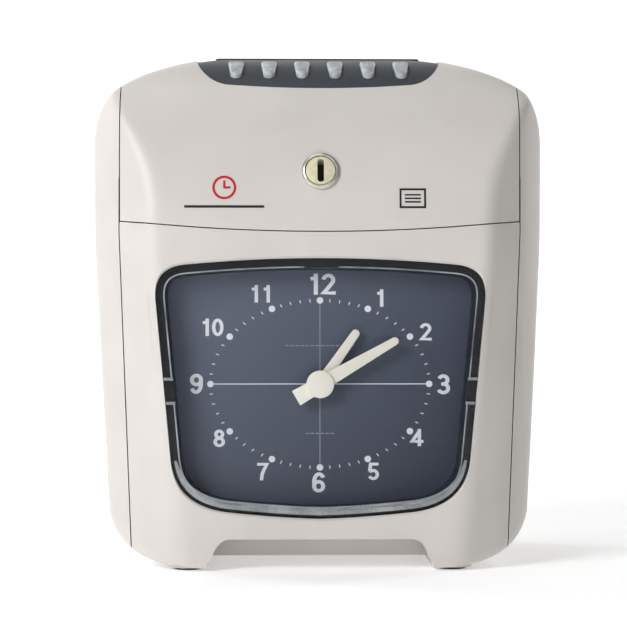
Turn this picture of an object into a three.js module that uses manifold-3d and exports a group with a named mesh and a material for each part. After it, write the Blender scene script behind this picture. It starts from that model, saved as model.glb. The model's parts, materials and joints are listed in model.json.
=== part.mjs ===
// Punch time clock: an analog electronic time recorder in a moulded case.
// Millimetres. +X is the right as seen from the front, +Y is the back, +Z is up.
// The origin is on the floor, under the middle of the case.
import * as THREE from "three";
import { mergeVertices } from "three/addons/utils/BufferGeometryUtils.js";
import Module from "manifold-3d";

const wasm = await Module();
wasm.setup();

// ---- Driving dimensions -------------------------------------------------------------------------

const WIDTH = 211;
const DEPTH = 130;
const HEIGHT = 238;
const WALL = 2.4; // moulded wall
const GAP = 0.4; // between parts that meet at a seam
const FIT = 0.3; // between parts that sit in or on each other
const FOOT_LIFT = 1; // underside of the legs above the floor

const FRONT = -DEPTH / 2;
const BACK = DEPTH / 2;

// Lid seam: its height in the middle of the front and at the sides.
const SEAM_Z = 153;
const SEAM_SIDE_Z = 158;
const LID_HALF = 91.4;

// Half-widths of the flat front and of the corner behind its bevel: at the floor, seam and top.
const FACE_HALF = [63, 77, 72];
const BEVEL_HALF = [85.6, 91.6, 91.6];
const BEVEL_DEPTH = 13;
const TOP_FLAT = 50; // half width of the level part of the top, seen from the front

// Arch between the feet, and the raised belly behind it.
const ARCH_HALF = 41;
const ARCH_FOOT_HALF = 51;
const ARCH_HEIGHT = 14.3;
const ARCH_DEPTH = 30;
const BELLY_Z = 4;

// Lid hinge, along X at the top of the back.
const HINGE_RADIUS = 9;
const HINGE_Y = BACK - HINGE_RADIUS;
const HINGE_Z = HEIGHT - HINGE_RADIUS;
const PIN_RADIUS = 2;
const PIN_CLEARANCE = 0.25;

// Dial window and dial.
const WINDOW = { top: 141, bottom: 23.4, halfTop: 75.7, halfBottom: 66.1, crown: 3 };
const DIAL_Z = 83.8;
const DIAL_FRONT = FRONT + 15.5;
const DIAL_THICKNESS = 1.6;

// Boat-shaped button panel in the top, and the card slot in it.
const PANEL = { half: 57.5, frontY: -40, backY: 5, recess: 0.8, thickness: 2.2 };
const SLOT = { half: 46, frontY: -4.6, backY: 0.6 };
const BUTTON = { count: 6, pitch: 15.4, y: -27.5, long: 14, wide: 7.4, narrow: 5.4, proud: 2 };

// Lock in the front of the lid.
const LOCK = { z: 180.3, face: 8.6, barrel: 7.5, plug: 6.8, depth: 14, cam: 17 };

// Gears: one module for the clock train and one for the printer.
const MODULE = 0.8;
const CLOCK_TEETH = { cannon: 10, wheel: 30, pinion: 8, hour: 32 };
const DRIVE_TEETH = { pinion: 12, gear: 24 };

// Printer, between two side plates behind the lock.
const FRAME = { half: 80, sheet: 2, frontY: -38, backY: 20, floorZ: 156, topZ: 212 };
const SHAFT_Z = 163;
const SHAFT_Y = -32;
const SCREW_Y = -16;
const FEED = { y: 6.5, z: 195, radius: 8.5, pinchY: -8.2, pinchRadius: 5.9, shaft: 2 };

// ---- Solids made with three.js, combined with manifold-3d ---------------------------------------

function solid(geometry) {
  const bare = geometry.index ? geometry.toNonIndexed() : geometry.clone();
  bare.deleteAttribute("normal");
  bare.deleteAttribute("uv");
  const merged = mergeVertices(bare, 1e-4);
  return new wasm.Manifold(
    new wasm.Mesh({
      numProp: 3,
      vertProperties: merged.attributes.position.array,
      triVerts: new Uint32Array(merged.index.array),
    }),
  );
}

function geometryOf(shape) {
  const mesh = shape.getMesh();
  const geometry = new THREE.BufferGeometry();
  geometry.setAttribute("position", new THREE.BufferAttribute(mesh.vertProperties, 3));
  geometry.setIndex(new THREE.BufferAttribute(mesh.triVerts, 1));
  const faceted = geometry.toNonIndexed();
  faceted.computeVertexNormals();
  return faceted;
}

const join = (first, ...rest) => rest.reduce((sum, next) => sum.add(next), first);
const cut = (first, ...rest) => rest.reduce((left, next) => left.subtract(next), first);
const common = (first, ...rest) => rest.reduce((left, next) => left.intersect(next), first);

function box(x0, x1, y0, y1, z0, z1) {
  const geometry = new THREE.BoxGeometry(x1 - x0, y1 - y0, z1 - z0);
  geometry.translate((x0 + x1) / 2, (y0 + y1) / 2, (z0 + z1) / 2);
  return solid(geometry);
}

// A cylinder between two points, or a cone when the second radius differs.
function rod(radius, start, end, sides = 24, endRadius = radius) {
  const from = new THREE.Vector3(...start);
  const to = new THREE.Vector3(...end);
  const along = to.clone().sub(from);
  const geometry = new THREE.CylinderGeometry(endRadius, radius, along.length(), sides);
  const up = new THREE.Vector3(0, 1, 0);
  geometry.applyQuaternion(new THREE.Quaternion().setFromUnitVectors(up, along.clone().normalize()));
  const middle = from.add(to).multiplyScalar(0.5);
  geometry.translate(middle.x, middle.y, middle.z);
  return solid(geometry);
}

const point = (u, v) => new THREE.Vector2(u, v);

// Directions of an outline's first axis, second axis and thickness, for each way to extrude.
const ACROSS_X = [new THREE.Vector3(0, 1, 0), new THREE.Vector3(0, 0, 1), new THREE.Vector3(1, 0, 0)];
const ACROSS_Y = [new THREE.Vector3(1, 0, 0), new THREE.Vector3(0, 0, 1), new THREE.Vector3(0, -1, 0)];
const ACROSS_Z = [new THREE.Vector3(1, 0, 0), new THREE.Vector3(0, 1, 0), new THREE.Vector3(0, 0, 1)];

function prism(outline, depth, axes) {
  const geometry = new THREE.ExtrudeGeometry(new THREE.Shape(outline), { depth, bevelEnabled: false });
  geometry.applyMatrix4(new THREE.Matrix4().makeBasis(...axes));
  return geometry;
}

// An outline in (y, z) extruded from x0 to x1.
function prismX(outline, x0, x1) {
  return solid(prism(outline, x1 - x0, ACROSS_X).translate(x0, 0, 0));
}

// An outline in (x, z) extruded from y0 to y1.
function prismY(outline, y0, y1) {
  return solid(prism(outline, y1 - y0, ACROSS_Y).translate(0, y1, 0));
}

// An outline in (x, y) extruded from z0 to z1.
function prismZ(outline, z0, z1) {
  return solid(prism(outline, z1 - z0, ACROSS_Z).translate(0, 0, z0));
}

// A closed skin through rings of equally many points, each ring convex and counter-clockwise.
function loft(rings) {
  const count = rings[0].length;
  const vertices = rings.flat().flatMap((p) => [p.x, p.y, p.z]);
  const index = [];
  for (let level = 0; level + 1 < rings.length; level++) {
    for (let i = 0; i < count; i++) {
      const next = (i + 1) % count;
      const low = level * count;
      const high = low + count;
      const [a, b, c, d] = [low + i, low + next, high + next, high + i];
      // The diagonals mirror each other, so a mirrored outline makes a mirrored skin.
      const faces = i < count / 2 ? [a, b, c, a, c, d] : [a, b, d, b, c, d];
      index.push(...faces);
    }
  }
  const top = (rings.length - 1) * count;
  for (let i = 1; i + 1 < count; i++) {
    index.push(0, i + 1, i, top, top + i, top + i + 1);
  }
  const geometry = new THREE.BufferGeometry();
  geometry.setAttribute("position", new THREE.Float32BufferAttribute(vertices, 3));
  geometry.setIndex(index);
  return geometry;
}

// The outline moved inwards by a distance: each side is shifted, and neighbours meet again.
function inset(outline, distance) {
  const count = outline.length;
  const inward = (a, b) => point(-(b.y - a.y), b.x - a.x).normalize();
  return outline.map((corner, i) => {
    const before = outline[(i + count - 1) % count];
    const after = outline[(i + 1) % count];
    const first = inward(before, corner);
    const second = inward(corner, after);
    const shift = distance / (1 + first.dot(second));
    return corner.clone().add(first.add(second).multiplyScalar(shift));
  });
}

// Points along a curve, without its last point.
const along = (curve, segments) => curve.getPoints(segments).slice(0, -1);
const bend = (a, b, c, segments) => along(new THREE.QuadraticBezierCurve(a, b, c), segments);

function arc(cx, cy, radiusX, radiusY, fromDegrees, toDegrees, segments) {
  const rad = THREE.MathUtils.degToRad;
  return Array.from({ length: segments + 1 }, (_, i) => {
    const angle = rad(fromDegrees + ((toDegrees - fromDegrees) * i) / segments);
    return point(cx + radiusX * Math.cos(angle), cy + radiusY * Math.sin(angle));
  });
}

// A right half given from its bottom to its top, completed with its mirror image.
function mirrored(half) {
  const left = half.map((p) => point(-p.x, p.y)).reverse();
  return [...half, ...left].filter((p, i, all) => p.distanceTo(all[(i + 1) % all.length]) > 1e-6);
}

// A rectangle with round corners, centred on a point.
function roundedRectangle(cx, cy, halfWidth, halfHeight, radius, segments = 4) {
  const corner = (sx, sy, from) =>
    arc(cx + sx * (halfWidth - radius), cy + sy * (halfHeight - radius), radius, radius,
      from, from + 90, segments);
  return [...corner(1, -1, -90), ...corner(1, 1, 0), ...corner(-1, 1, 90), ...corner(-1, -1, 180)];
}

// ---- The parts of the group ---------------------------------------------------------------------

const clock = new THREE.Group();
clock.name = "punch_time_clock";

const PLASTIC = { color: 0xd8d2c8, roughness: 0.5, metalness: 0 };
const DARK = { color: 0x32383f, roughness: 0.5, metalness: 0 };
const STEEL = { color: 0xb4b8bc, roughness: 0.35, metalness: 0.9 };
const BRASS = { color: 0xc9a55a, roughness: 0.35, metalness: 0.9 };
const RUBBER = { color: 0x26262a, roughness: 0.9, metalness: 0 };
const BOARD = { color: 0x2f6b45, roughness: 0.6, metalness: 0 };

function add(name, shape, look) {
  const mesh = new THREE.Mesh(geometryOf(shape), new THREE.MeshStandardMaterial(look));
  mesh.name = name;
  clock.add(mesh);
}

// ---- Outer shape of the case --------------------------------------------------------------------

function frontOutline() {
  const half = WIDTH / 2;
  return mirrored([
    ...bend(point(FACE_HALF[0], FOOT_LIFT), point(92, 5), point(97, 24), 5),
    point(97, 24),
    point(half - 0.5, 150),
    ...along(
      new THREE.CubicBezierCurve(
        point(half, HEIGHT - 45), point(half + 0.2, HEIGHT - 21),
        point(half - 17.5, HEIGHT - 10), point(TOP_FLAT, HEIGHT),
      ), 8,
    ),
    point(TOP_FLAT, HEIGHT),
  ]);
}

function sideOutline() {
  return [
    point(FRONT, FOOT_LIFT),
    point(BACK, FOOT_LIFT),
    ...arc(HINGE_Y, HINGE_Z, HINGE_RADIUS, HINGE_RADIUS, 0, 90, 5),
    ...arc(0, SEAM_Z, -FRONT, HEIGHT - SEAM_Z, 90, 180, 16),
  ];
}

// A width given at the floor, seam and top, read at any height.
function widthAt([floor, seam, top], z) {
  const { lerp } = THREE.MathUtils;
  return z < SEAM_Z ? lerp(floor, seam, z / SEAM_Z) : lerp(seam, top, (z - SEAM_Z) / (HEIGHT - SEAM_Z));
}

// Plan of the case at one height: flat front, bevelled corners, swelling sides.
function planOutline(z) {
  const half = WIDTH / 2 + 0.5;
  const bevelY = FRONT + BEVEL_DEPTH;
  const rear = [
    ...bend(point(widthAt(BEVEL_HALF, z), bevelY), point(half - 2.5, -30), point(half, -5), 4),
    point(half, -5),
    point(half, BACK - 12),
    point(half - 6, BACK),
  ];
  return mirrored([point(widthAt(FACE_HALF, z), FRONT), ...rear]);
}

function archOutline(grow) {
  return mirrored([
    point(ARCH_FOOT_HALF + grow, -1),
    point(ARCH_FOOT_HALF + grow, FOOT_LIFT + 1),
    ...bend(
      point(ARCH_FOOT_HALF - 2 + grow, ARCH_HEIGHT * 0.45), point(ARCH_HALF + 6 + grow, ARCH_HEIGHT + grow),
      point(ARCH_HALF, ARCH_HEIGHT + grow), 4,
    ),
    point(ARCH_HALF, ARCH_HEIGHT + grow),
  ]);
}

function body(wall) {
  const front = prismY(inset(frontOutline(), wall), FRONT - 1, BACK + 1);
  const side = prismX(inset(sideOutline(), wall), -WIDTH, WIDTH);
  const levels = [-1, SEAM_Z / 2, SEAM_Z, (SEAM_Z + HEIGHT) / 2, HEIGHT + 1];
  const rings = levels.map((z) => inset(planOutline(z), wall).map((p) => new THREE.Vector3(p.x, p.y, z)));
  const arch = prismY(archOutline(wall), FRONT - 1, FRONT + ARCH_DEPTH + wall);
  const foot = ARCH_FOOT_HALF + wall;
  const belly = box(-foot, foot, FRONT - 1, BACK + 1, -1, BELLY_Z + wall);
  return cut(common(front, side, solid(loft(rings))), arch, belly);
}

const outside = body(0);
const shell = cut(outside, body(WALL));
const inside = body(WALL + FIT);

// ---- Seams between the case, the lid and the front ----------------------------------------------

// Everything above the lid seam, lowered by a gap and widened by the same gap.
function lidZone(gap) {
  const half = LID_HALF + gap;
  const low = SEAM_SIDE_Z - gap;
  const seam = bend(point(-half, low), point(0, 2 * SEAM_Z - SEAM_SIDE_Z - gap), point(half, low), 10);
  return [...seam, point(half, low), point(half, HEIGHT + 5), point(-half, HEIGHT + 5)];
}

const FRONT_PART_BACK = FRONT + ARCH_DEPTH - 1;

// Everything in front of the case's cheeks, below a height.
function frontZone(gap, top) {
  const low = BEVEL_HALF[0] + gap;
  const high = BEVEL_HALF[1] + gap;
  const outline = mirrored([point(low, -1), point(high, SEAM_Z), point(high, top)]);
  return prismY(outline, FRONT - 1, FRONT_PART_BACK + gap);
}

// ---- Rear case ----------------------------------------------------------------------------------

const FLOOR = BELLY_Z + WALL;
const LEG_FLOOR = FOOT_LIFT + WALL;
const SCREW_X = 62;
const SCREW_CASE_Y = FRONT + 38;
const LUG_Z = 7.6;
const INLET = { x: -60, z: 30, halfWidth: 14, halfHeight: 11 };
const PAD_X = 60;
const [PAD_FRONT, PAD_REAR] = [FRONT + 12, BACK - 15];
const PADS = [
  ["front_left", -PAD_X, PAD_FRONT], ["front_right", PAD_X, PAD_FRONT],
  ["rear_left", -PAD_X, PAD_REAR], ["rear_right", PAD_X, PAD_REAR],
];
const PAD = { radius: 7, pocket: 1.4, thickness: 2.1 };
const CURL_BOTTOM = HINGE_Z - HINGE_RADIUS;
const EAR_X = 46;
const EAR_HALF = 2;
const KNUCKLE_GAP = 0.5;
const VENTS = { count: 9, pitch: 9, half: 1.5, low: 96, high: 132 };

function padPockets(forRear) {
  const chosen = PADS.filter(([name]) => name.startsWith("rear") === forRear);
  return chosen.map(([, x, y]) => rod(PAD.radius + FIT, [x, y, -1], [x, y, FOOT_LIFT + PAD.pocket]));
}

// Thickens the floor over each pad pocket.
function padBosses(forRear) {
  const chosen = PADS.filter(([name]) => name.startsWith("rear") === forRear);
  return chosen.map(([, x, y]) =>
    rod(PAD.radius + 2, [x, y, FOOT_LIFT + 0.1], [x, y, FOOT_LIFT + PAD.pocket + WALL]));
}

// Two plates that rise from the back wall and carry the hinge pins.
function hingeEars() {
  const wallY = BACK - 0.6 * WALL;
  const outline = [
    point(wallY, CURL_BOTTOM - 18),
    point(wallY, CURL_BOTTOM - 4),
    point(HINGE_Y + 2, CURL_BOTTOM - 1),
    ...arc(HINGE_Y, HINGE_Z, 5, 5, -50, 210, 12),
    point(HINGE_Y - 5, CURL_BOTTOM - 6),
  ];
  return [-1, 1].map((side) => prismX(outline, side * EAR_X - EAR_HALF, side * EAR_X + EAR_HALF));
}

function hingeBore(x0, x1) {
  const bore = PIN_RADIUS + PIN_CLEARANCE;
  return rod(bore, [x0, HINGE_Y, HINGE_Z], [x1, HINGE_Y, HINGE_Z], 20);
}

function backVents() {
  const first = -((VENTS.count - 1) / 2) * VENTS.pitch;
  return Array.from({ length: VENTS.count }, (_, i) => {
    const x = first + i * VENTS.pitch;
    return box(x - VENTS.half, x + VENTS.half, BACK - 6, BACK + 1, VENTS.low, VENTS.high);
  });
}

// A narrow lip inside the cheeks that closes the seam beside the lid.
function lidLips() {
  const start = WALL + FIT + 0.1;
  const under = cut(body(start), body(start + 1.2));
  const rooted = cut(body(WALL - 0.2), body(start + 1.2));
  const level = [SEAM_SIDE_Z + 10, HEIGHT + 2];
  const span = (from, to) => [-1, 1].map((side) => {
    const [x0, x1] = side > 0 ? [from, to] : [-to, -from];
    return box(x0, x1, FRONT_PART_BACK + 4, HINGE_Y - 14, ...level);
  });
  return [
    ...span(LID_HALF - 3, LID_HALF + 1.5).map((zone) => common(under, zone)),
    ...span(LID_HALF + 1, LID_HALF + 5).map((zone) => common(rooted, zone)),
  ];
}

function caseScrewBosses() {
  return [-1, 1].map((side) => {
    const [x, y] = [side * SCREW_X, SCREW_CASE_Y];
    return rod(6, [x, y, FOOT_LIFT + 0.1], [x, y, LUG_Z - 0.4]);
  });
}

function caseScrewHoles() {
  return [-1, 1].flatMap((side) => {
    const [x, y] = [side * SCREW_X, SCREW_CASE_Y];
    return [rod(4, [x, y, -1], [x, y, 4]), rod(2.1, [x, y, 0], [x, y, LUG_Z + 1], 16)];
  });
}

function rearCase() {
  const half = LID_HALF + GAP / 2;
  const lid = prismY(lidZone(GAP / 2), FRONT - 1, HINGE_Y);
  const lidRear = box(-half, half, HINGE_Y - 1, BACK + 1, CURL_BOTTOM - 1.4, HEIGHT + 5);
  const walls = cut(shell, lid, lidRear, frontZone(GAP / 2, SEAM_SIDE_Z + 20));
  const solidParts = join(walls, ...hingeEars(), ...padBosses(true), ...lidLips(), ...caseScrewBosses());
  const inletHole = box(INLET.x - INLET.halfWidth, INLET.x + INLET.halfWidth, BACK - 6, BACK + 1,
    INLET.z - INLET.halfHeight, INLET.z + INLET.halfHeight);
  return cut(solidParts, ...backVents(), ...padPockets(true), ...caseScrewHoles(),
    hingeBore(-EAR_X - 10, EAR_X + 10), inletHole);
}

// ---- Front cover --------------------------------------------------------------------------------

function windowOutline() {
  const { top, bottom, halfTop, halfBottom, crown } = WINDOW;
  const shoulder = top - crown;
  const lowCheek = point(halfBottom + 1.5, bottom + 26);
  const highCheek = point(halfTop - 1.2, shoulder - 16);
  return mirrored([
    point(0, bottom),
    ...bend(point(halfBottom - 24, bottom + 3), point(halfBottom - 1, bottom + 6), lowCheek, 8),
    lowCheek,
    ...bend(highCheek, point(halfTop, shoulder - 1.5), point(halfTop - 14, shoulder), 6),
    point(halfTop - 14, shoulder),
    point(halfTop * 0.5, top - crown * 0.3),
    point(0, top),
  ]);
}

const STRIKE = {
  half: 14, front: FRONT + 10, back: FRONT + 12.5, low: WINDOW.top + 5.5, high: SEAM_Z + 13,
};

// A tongue behind the lid seam that the lock cam reaches under, with the shelf that holds it.
function lockStrike() {
  const wallY = FRONT + WALL - 0.5;
  const { half, front, back, low, high } = STRIKE;
  const tongue = box(-half, half, front, back, low, high);
  const shelf = box(-half, half, wallY, back - 0.5, low, low + 2.5);
  const ribs = [3 - half, half - 3].map((x) =>
    box(x - 1, x + 1, wallY, back - 0.5, low + 0.5, SEAM_Z - 1.5));
  return join(tongue, shelf, ...ribs);
}

function frontLugs() {
  return [-1, 1].map((side) => {
    const [x0, x1] = [side * SCREW_X - 7, side * SCREW_X + 7];
    const plate = box(x0, x1, FRONT_PART_BACK - 4, SCREW_CASE_Y + 6, LUG_Z, 12);
    const web = box(x0, x1, FRONT_PART_BACK - 4, FRONT_PART_BACK - 1, LEG_FLOOR - 0.5, 12);
    const hole = rod(1.9, [side * SCREW_X, SCREW_CASE_Y, 0], [side * SCREW_X, SCREW_CASE_Y, 20], 16);
    return cut(join(plate, web), hole);
  });
}

function frontCover() {
  const belowLid = prismY(lidZone(GAP / 2), FRONT - 1, BACK);
  const skin = cut(common(shell, frontZone(-GAP / 2, HEIGHT)), belowLid);
  const opening = prismY(windowOutline(), FRONT - 5, FRONT + 8);
  const whole = join(cut(skin, opening), lockStrike(), ...padBosses(false), ...frontLugs());
  return cut(whole, ...padPockets(false));
}

// ---- Lid ----------------------------------------------------------------------------------------

function boatOutline(grow) {
  const { half, frontY, backY } = PANEL;
  const bulge = point(22, frontY);
  const shoulder = point(43, frontY + 1.8);
  const cheek = point(half, frontY + 4.5);
  const left = (p) => point(-p.x, p.y);
  const outline = [
    ...bend(point(-half, -10), left(cheek), left(shoulder), 6),
    ...bend(left(shoulder), left(bulge), point(0, frontY), 4),
    ...bend(point(0, frontY), bulge, shoulder, 4),
    ...bend(shoulder, cheek, point(half, -10), 6),
    ...bend(point(half, -10), point(half, backY), point(half - 10, backY), 4),
    ...bend(point(half - 10, backY), point(0, backY), point(10 - half, backY), 1),
    ...bend(point(10 - half, backY), point(-half, backY), point(-half, -10), 4),
  ];
  return inset(outline, -grow);
}

// The rounded rear edge below the hinge axis, left open where the ears come through.
function lidCurl() {
  const inner = HINGE_RADIUS - WALL;
  const band = [
    ...arc(HINGE_Y, HINGE_Z, HINGE_RADIUS, HINGE_RADIUS, -60, 2, 6),
    ...arc(HINGE_Y, HINGE_Z, inner, inner, 2, -60, 6),
  ];
  return common(prismX(band, -WIDTH, WIDTH), outside, box(-LID_HALF, LID_HALF, 0, BACK + 1, 0, HEIGHT + 1));
}

// One disc on each side of an ear, joined to the curl, with room for the pin.
function lidKnuckles() {
  const near = EAR_HALF + KNUCKLE_GAP;
  return [-1, 1].flatMap((side) =>
    [[near, near + 4], [-near - 4, -near]].map(([from, to]) => {
      const x = side * EAR_X;
      return rod(HINGE_RADIUS - WALL / 2, [x + from, HINGE_Y, HINGE_Z], [x + to, HINGE_Y, HINGE_Z], 28);
    }));
}

function earSlots() {
  const reach = EAR_HALF + KNUCKLE_GAP;
  return [-1, 1].map((side) =>
    box(side * EAR_X - reach, side * EAR_X + reach, HINGE_Y - 1, BACK + 1, CURL_BOTTOM - 2, HINGE_Z + 5));
}

function topCover() {
  const frontPart = prismY(lidZone(-GAP / 2), FRONT - 1, HINGE_Y);
  const half = LID_HALF - GAP / 2;
  const rearPart = box(-half, half, HINGE_Y - 1, BACK + 1, HINGE_Z, HEIGHT + 5);
  const skin = common(shell, join(frontPart, rearPart));
  const lockHole = lockRod(LOCK.barrel + FIT, -6, 8);
  const whole = cut(join(skin, lidCurl(), ...lidKnuckles()), ...earSlots());
  const panelHole = prismZ(boatOutline(0), SEAM_Z + 20, HEIGHT + 5);
  return cut(whole, panelHole, lockHole, hingeBore(-EAR_X - 10, EAR_X + 10));
}

// ---- Hinge pins, feet, case screws, inlet -------------------------------------------------------

function hingePin(side) {
  const outer = side * (EAR_X + EAR_HALF + 5.5);
  const inner = side * (EAR_X - EAR_HALF - 5);
  const at = (x) => [x, HINGE_Y, HINGE_Z];
  const shank = rod(PIN_RADIUS, at(inner), at(outer), 20);
  const head = rod(PIN_RADIUS + 1.3, at(outer - side * 0.2), at(outer + side * 1.4), 20);
  return join(shank, head);
}

function footPad(x, y) {
  const profile = [
    point(0, 0), point(PAD.radius - 1.2, 0), point(PAD.radius - 0.3, 0.6), point(PAD.radius, PAD.thickness),
    point(0, PAD.thickness),
  ];
  const pad = new THREE.LatheGeometry(profile, 28).rotateX(Math.PI / 2).translate(x, y, 0);
  return solid(pad);
}

function caseScrew(side) {
  const [x, y] = [side * SCREW_X, SCREW_CASE_Y];
  const head = rod(3.4, [x, y, 1.8], [x, y, 3.7]);
  const shank = rod(1.6, [x, y, 3.5], [x, y, 13], 16);
  const cross = [[2.4, 0.4], [0.4, 2.4]].map(([a, b]) => box(x - a, x + a, y - b, y + b, 1, 2.6));
  return cut(join(head, shank), ...cross);
}

// Appliance inlet: a shrouded socket with three blades, held behind the back wall.
function powerInlet() {
  const [w, h] = [INLET.halfWidth, INLET.halfHeight];
  const centre = [INLET.x, INLET.z];
  const flange = prismY(roundedRectangle(...centre, w + 3, h + 3, 3), BACK - WALL - 3.4, BACK - WALL - FIT);
  const shroud = prismY(roundedRectangle(...centre, w - FIT, h - FIT, 2.5), BACK - 22, BACK - 0.4);
  const pocket = prismY(roundedRectangle(...centre, w - 2.2, h - 2.2, 1.5), BACK - 18, BACK + 1);
  const blades = [[-7, -2], [0, 2.5], [7, -2]].map(([dx, dz]) =>
    box(INLET.x + dx - 1, INLET.x + dx + 1, BACK - 19, BACK - 5, INLET.z + dz - 2, INLET.z + dz + 2));
  return join(cut(join(flange, shroud), pocket), ...blades);
}

// ---- Dial window, bezel and dial ----------------------------------------------------------------

const GLASS_BACK = FRONT + WALL + FIT + 1.6;
const BEZEL_FRONT = GLASS_BACK + FIT;
const BEZEL_BACK = DIAL_FRONT - FIT;

function dialWindow() {
  const flange = common(prismY(inset(windowOutline(), -4), FRONT + WALL + FIT, GLASS_BACK), inside);
  const pane = prismY(inset(windowOutline(), FIT), FRONT + 0.4, GLASS_BACK - 0.5);
  const hollow = prismY(inset(windowOutline(), 5), FRONT + 2.6, GLASS_BACK + 1);
  return cut(join(flange, pane), hollow);
}

// The opening narrows from the window back to the dial.
function dialBezel() {
  const ring = (distance, y) =>
    inset(windowOutline(), distance).map((p) => new THREE.Vector3(p.x, y, p.y));
  const opening = solid(loft([ring(5.2, BEZEL_BACK + 1), ring(4, BEZEL_FRONT - 1)]));
  const outer = common(prismY(inset(windowOutline(), -2), BEZEL_FRONT, BEZEL_BACK), inside);
  return cut(outer, opening);
}

function dialPlate() {
  const plate = prismY(inset(windowOutline(), 1), DIAL_FRONT, DIAL_FRONT + DIAL_THICKNESS);
  const hole = rod(3.6, [0, DIAL_FRONT - 1, DIAL_Z], [0, DIAL_FRONT + 5, DIAL_Z]);
  return cut(plate, hole);
}

// ---- Clock hands and movement -------------------------------------------------------------------

const HAND = { minuteY: DIAL_FRONT - 6, hourY: DIAL_FRONT - 3.6, thickness: 0.8 };
const MINUTE_DEGREES = 60;
const HOUR_DEGREES = 35;
const ARBOR_RADIUS = 1.5;
const PIPE = { inner: 1.9, outer: 3 };
const PLATE = {
  front: DIAL_FRONT + 2.6, back: DIAL_FRONT + 19.6, thickness: 1.6, half: 27, halfHeight: 31,
};
const MINUTE_HAND = { length: 41, tail: 12.7, root: 3.4, tip: 1.8, tailHalf: 3.8, hub: 6.3 };
const HOUR_HAND = { length: 30, tail: 4, root: 2.6, tip: 1.9, tailHalf: 2.2, hub: 5 };
const TRAIN_Z = DIAL_Z - (MODULE * (CLOCK_TEETH.cannon + CLOCK_TEETH.wheel)) / 2;

// A tapered hand that points up from the dial centre, turned clockwise by an angle.
function handBlade({ length, tail, root, tip, tailHalf }, y, degrees) {
  const outline = [
    point(-tailHalf, -tail), point(tailHalf, -tail), point(root, 0), point(tip, length - tip),
    ...arc(0, length - tip, tip, tip, 15, 165, 6), point(-tip, length - tip), point(-root, 0),
  ];
  const blade = prism(outline, HAND.thickness, ACROSS_Y);
  blade.rotateY(THREE.MathUtils.degToRad(degrees));
  return solid(blade.translate(0, y + HAND.thickness, DIAL_Z));
}

const onAxis = (radius, y0, y1, sides = 24) => rod(radius, [0, y0, DIAL_Z], [0, y1, DIAL_Z], sides);

function minuteHand() {
  const y = HAND.minuteY;
  const blade = handBlade(MINUTE_HAND, y, MINUTE_DEGREES);
  const hub = onAxis(MINUTE_HAND.hub, y - 1.2, y + HAND.thickness + 0.6, 32);
  return cut(join(blade, hub), onAxis(ARBOR_RADIUS + 0.2, y, y + 5));
}

function hourHand() {
  const y = HAND.hourY;
  const blade = handBlade(HOUR_HAND, y, HOUR_DEGREES);
  const hub = onAxis(HOUR_HAND.hub, y, y + HAND.thickness + 0.8, 28);
  return cut(join(blade, hub), onAxis(PIPE.outer + 0.2, y - 1, y + 5));
}

// Straight-sided teeth with generous play, centred on the origin, one tooth at the given angle.
function gearOutline(teeth, toothDegrees) {
  const pitchRadius = (MODULE * teeth) / 2;
  const [root, tip] = [pitchRadius - 1.15 * MODULE, pitchRadius + 0.7 * MODULE];
  const step = 360 / teeth;
  return Array.from({ length: teeth }, (_, i) => toothDegrees + i * step).flatMap((centre) =>
    [[root, -0.32], [tip, -0.11], [tip, 0.11], [root, 0.32]].map(([radius, share]) => {
      const angle = THREE.MathUtils.degToRad(centre + share * step);
      return point(radius * Math.cos(angle), radius * Math.sin(angle));
    }));
}

function clockGear(teeth, z, toothDegrees, y0, y1) {
  const outline = gearOutline(teeth, toothDegrees).map((p) => point(p.x, p.y + z));
  return prismY(outline, y0, y1);
}

// The cannon pinion sits under the centre, so the train's mesh line points straight down.
const DOWN = -90;
const halfPitch = (teeth) => 180 / teeth;
const WHEEL_Y = PLATE.front + 6.5;
const HOUR_WHEEL_Y = PLATE.front + 2.5;

function minuteArbor() {
  const arbor = onAxis(ARBOR_RADIUS, HAND.minuteY + 0.3, PLATE.back - 1, 20);
  const pivot = onAxis(1, PLATE.back - 1.5, PLATE.back + PLATE.thickness - 0.3, 16);
  return join(arbor, pivot, clockGear(CLOCK_TEETH.cannon, DIAL_Z, DOWN, WHEEL_Y - 1, WHEEL_Y + 4));
}

function minuteWheel() {
  const turned = (teeth) => 90 + halfPitch(teeth);
  const wheel = clockGear(CLOCK_TEETH.wheel, TRAIN_Z, turned(CLOCK_TEETH.wheel), WHEEL_Y, WHEEL_Y + 2.5);
  const pinion = clockGear(CLOCK_TEETH.pinion, TRAIN_Z, turned(CLOCK_TEETH.pinion),
    HOUR_WHEEL_Y - 0.8, WHEEL_Y + 0.5);
  const [start, end] = [PLATE.front + 0.3, PLATE.back + PLATE.thickness - 0.3];
  const arbor = rod(1, [0, start, TRAIN_Z], [0, end, TRAIN_Z], 16);
  return join(wheel, pinion, arbor);
}

function hourWheel() {
  const wheel = clockGear(CLOCK_TEETH.hour, DIAL_Z, DOWN, HOUR_WHEEL_Y, HOUR_WHEEL_Y + 2);
  const pipe = onAxis(PIPE.outer, HAND.hourY + 0.2, HOUR_WHEEL_Y + 0.5);
  return cut(join(wheel, pipe), onAxis(PIPE.inner, HAND.hourY - 2, HOUR_WHEEL_Y + 5, 20));
}

function movementPlate(y, extraHoles) {
  const outline = roundedRectangle(0, DIAL_Z - 3, PLATE.half, PLATE.halfHeight, 6, 3);
  return cut(prismY(outline, y, y + PLATE.thickness), ...extraHoles);
}

function movementFront() {
  const holes = [
    onAxis(PIPE.outer + 0.4, PLATE.front - 2, PLATE.front + 4),
    rod(1.3, [0, PLATE.front - 2, TRAIN_Z], [0, PLATE.front + 4, TRAIN_Z], 16),
  ];
  return movementPlate(PLATE.front, holes);
}

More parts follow.
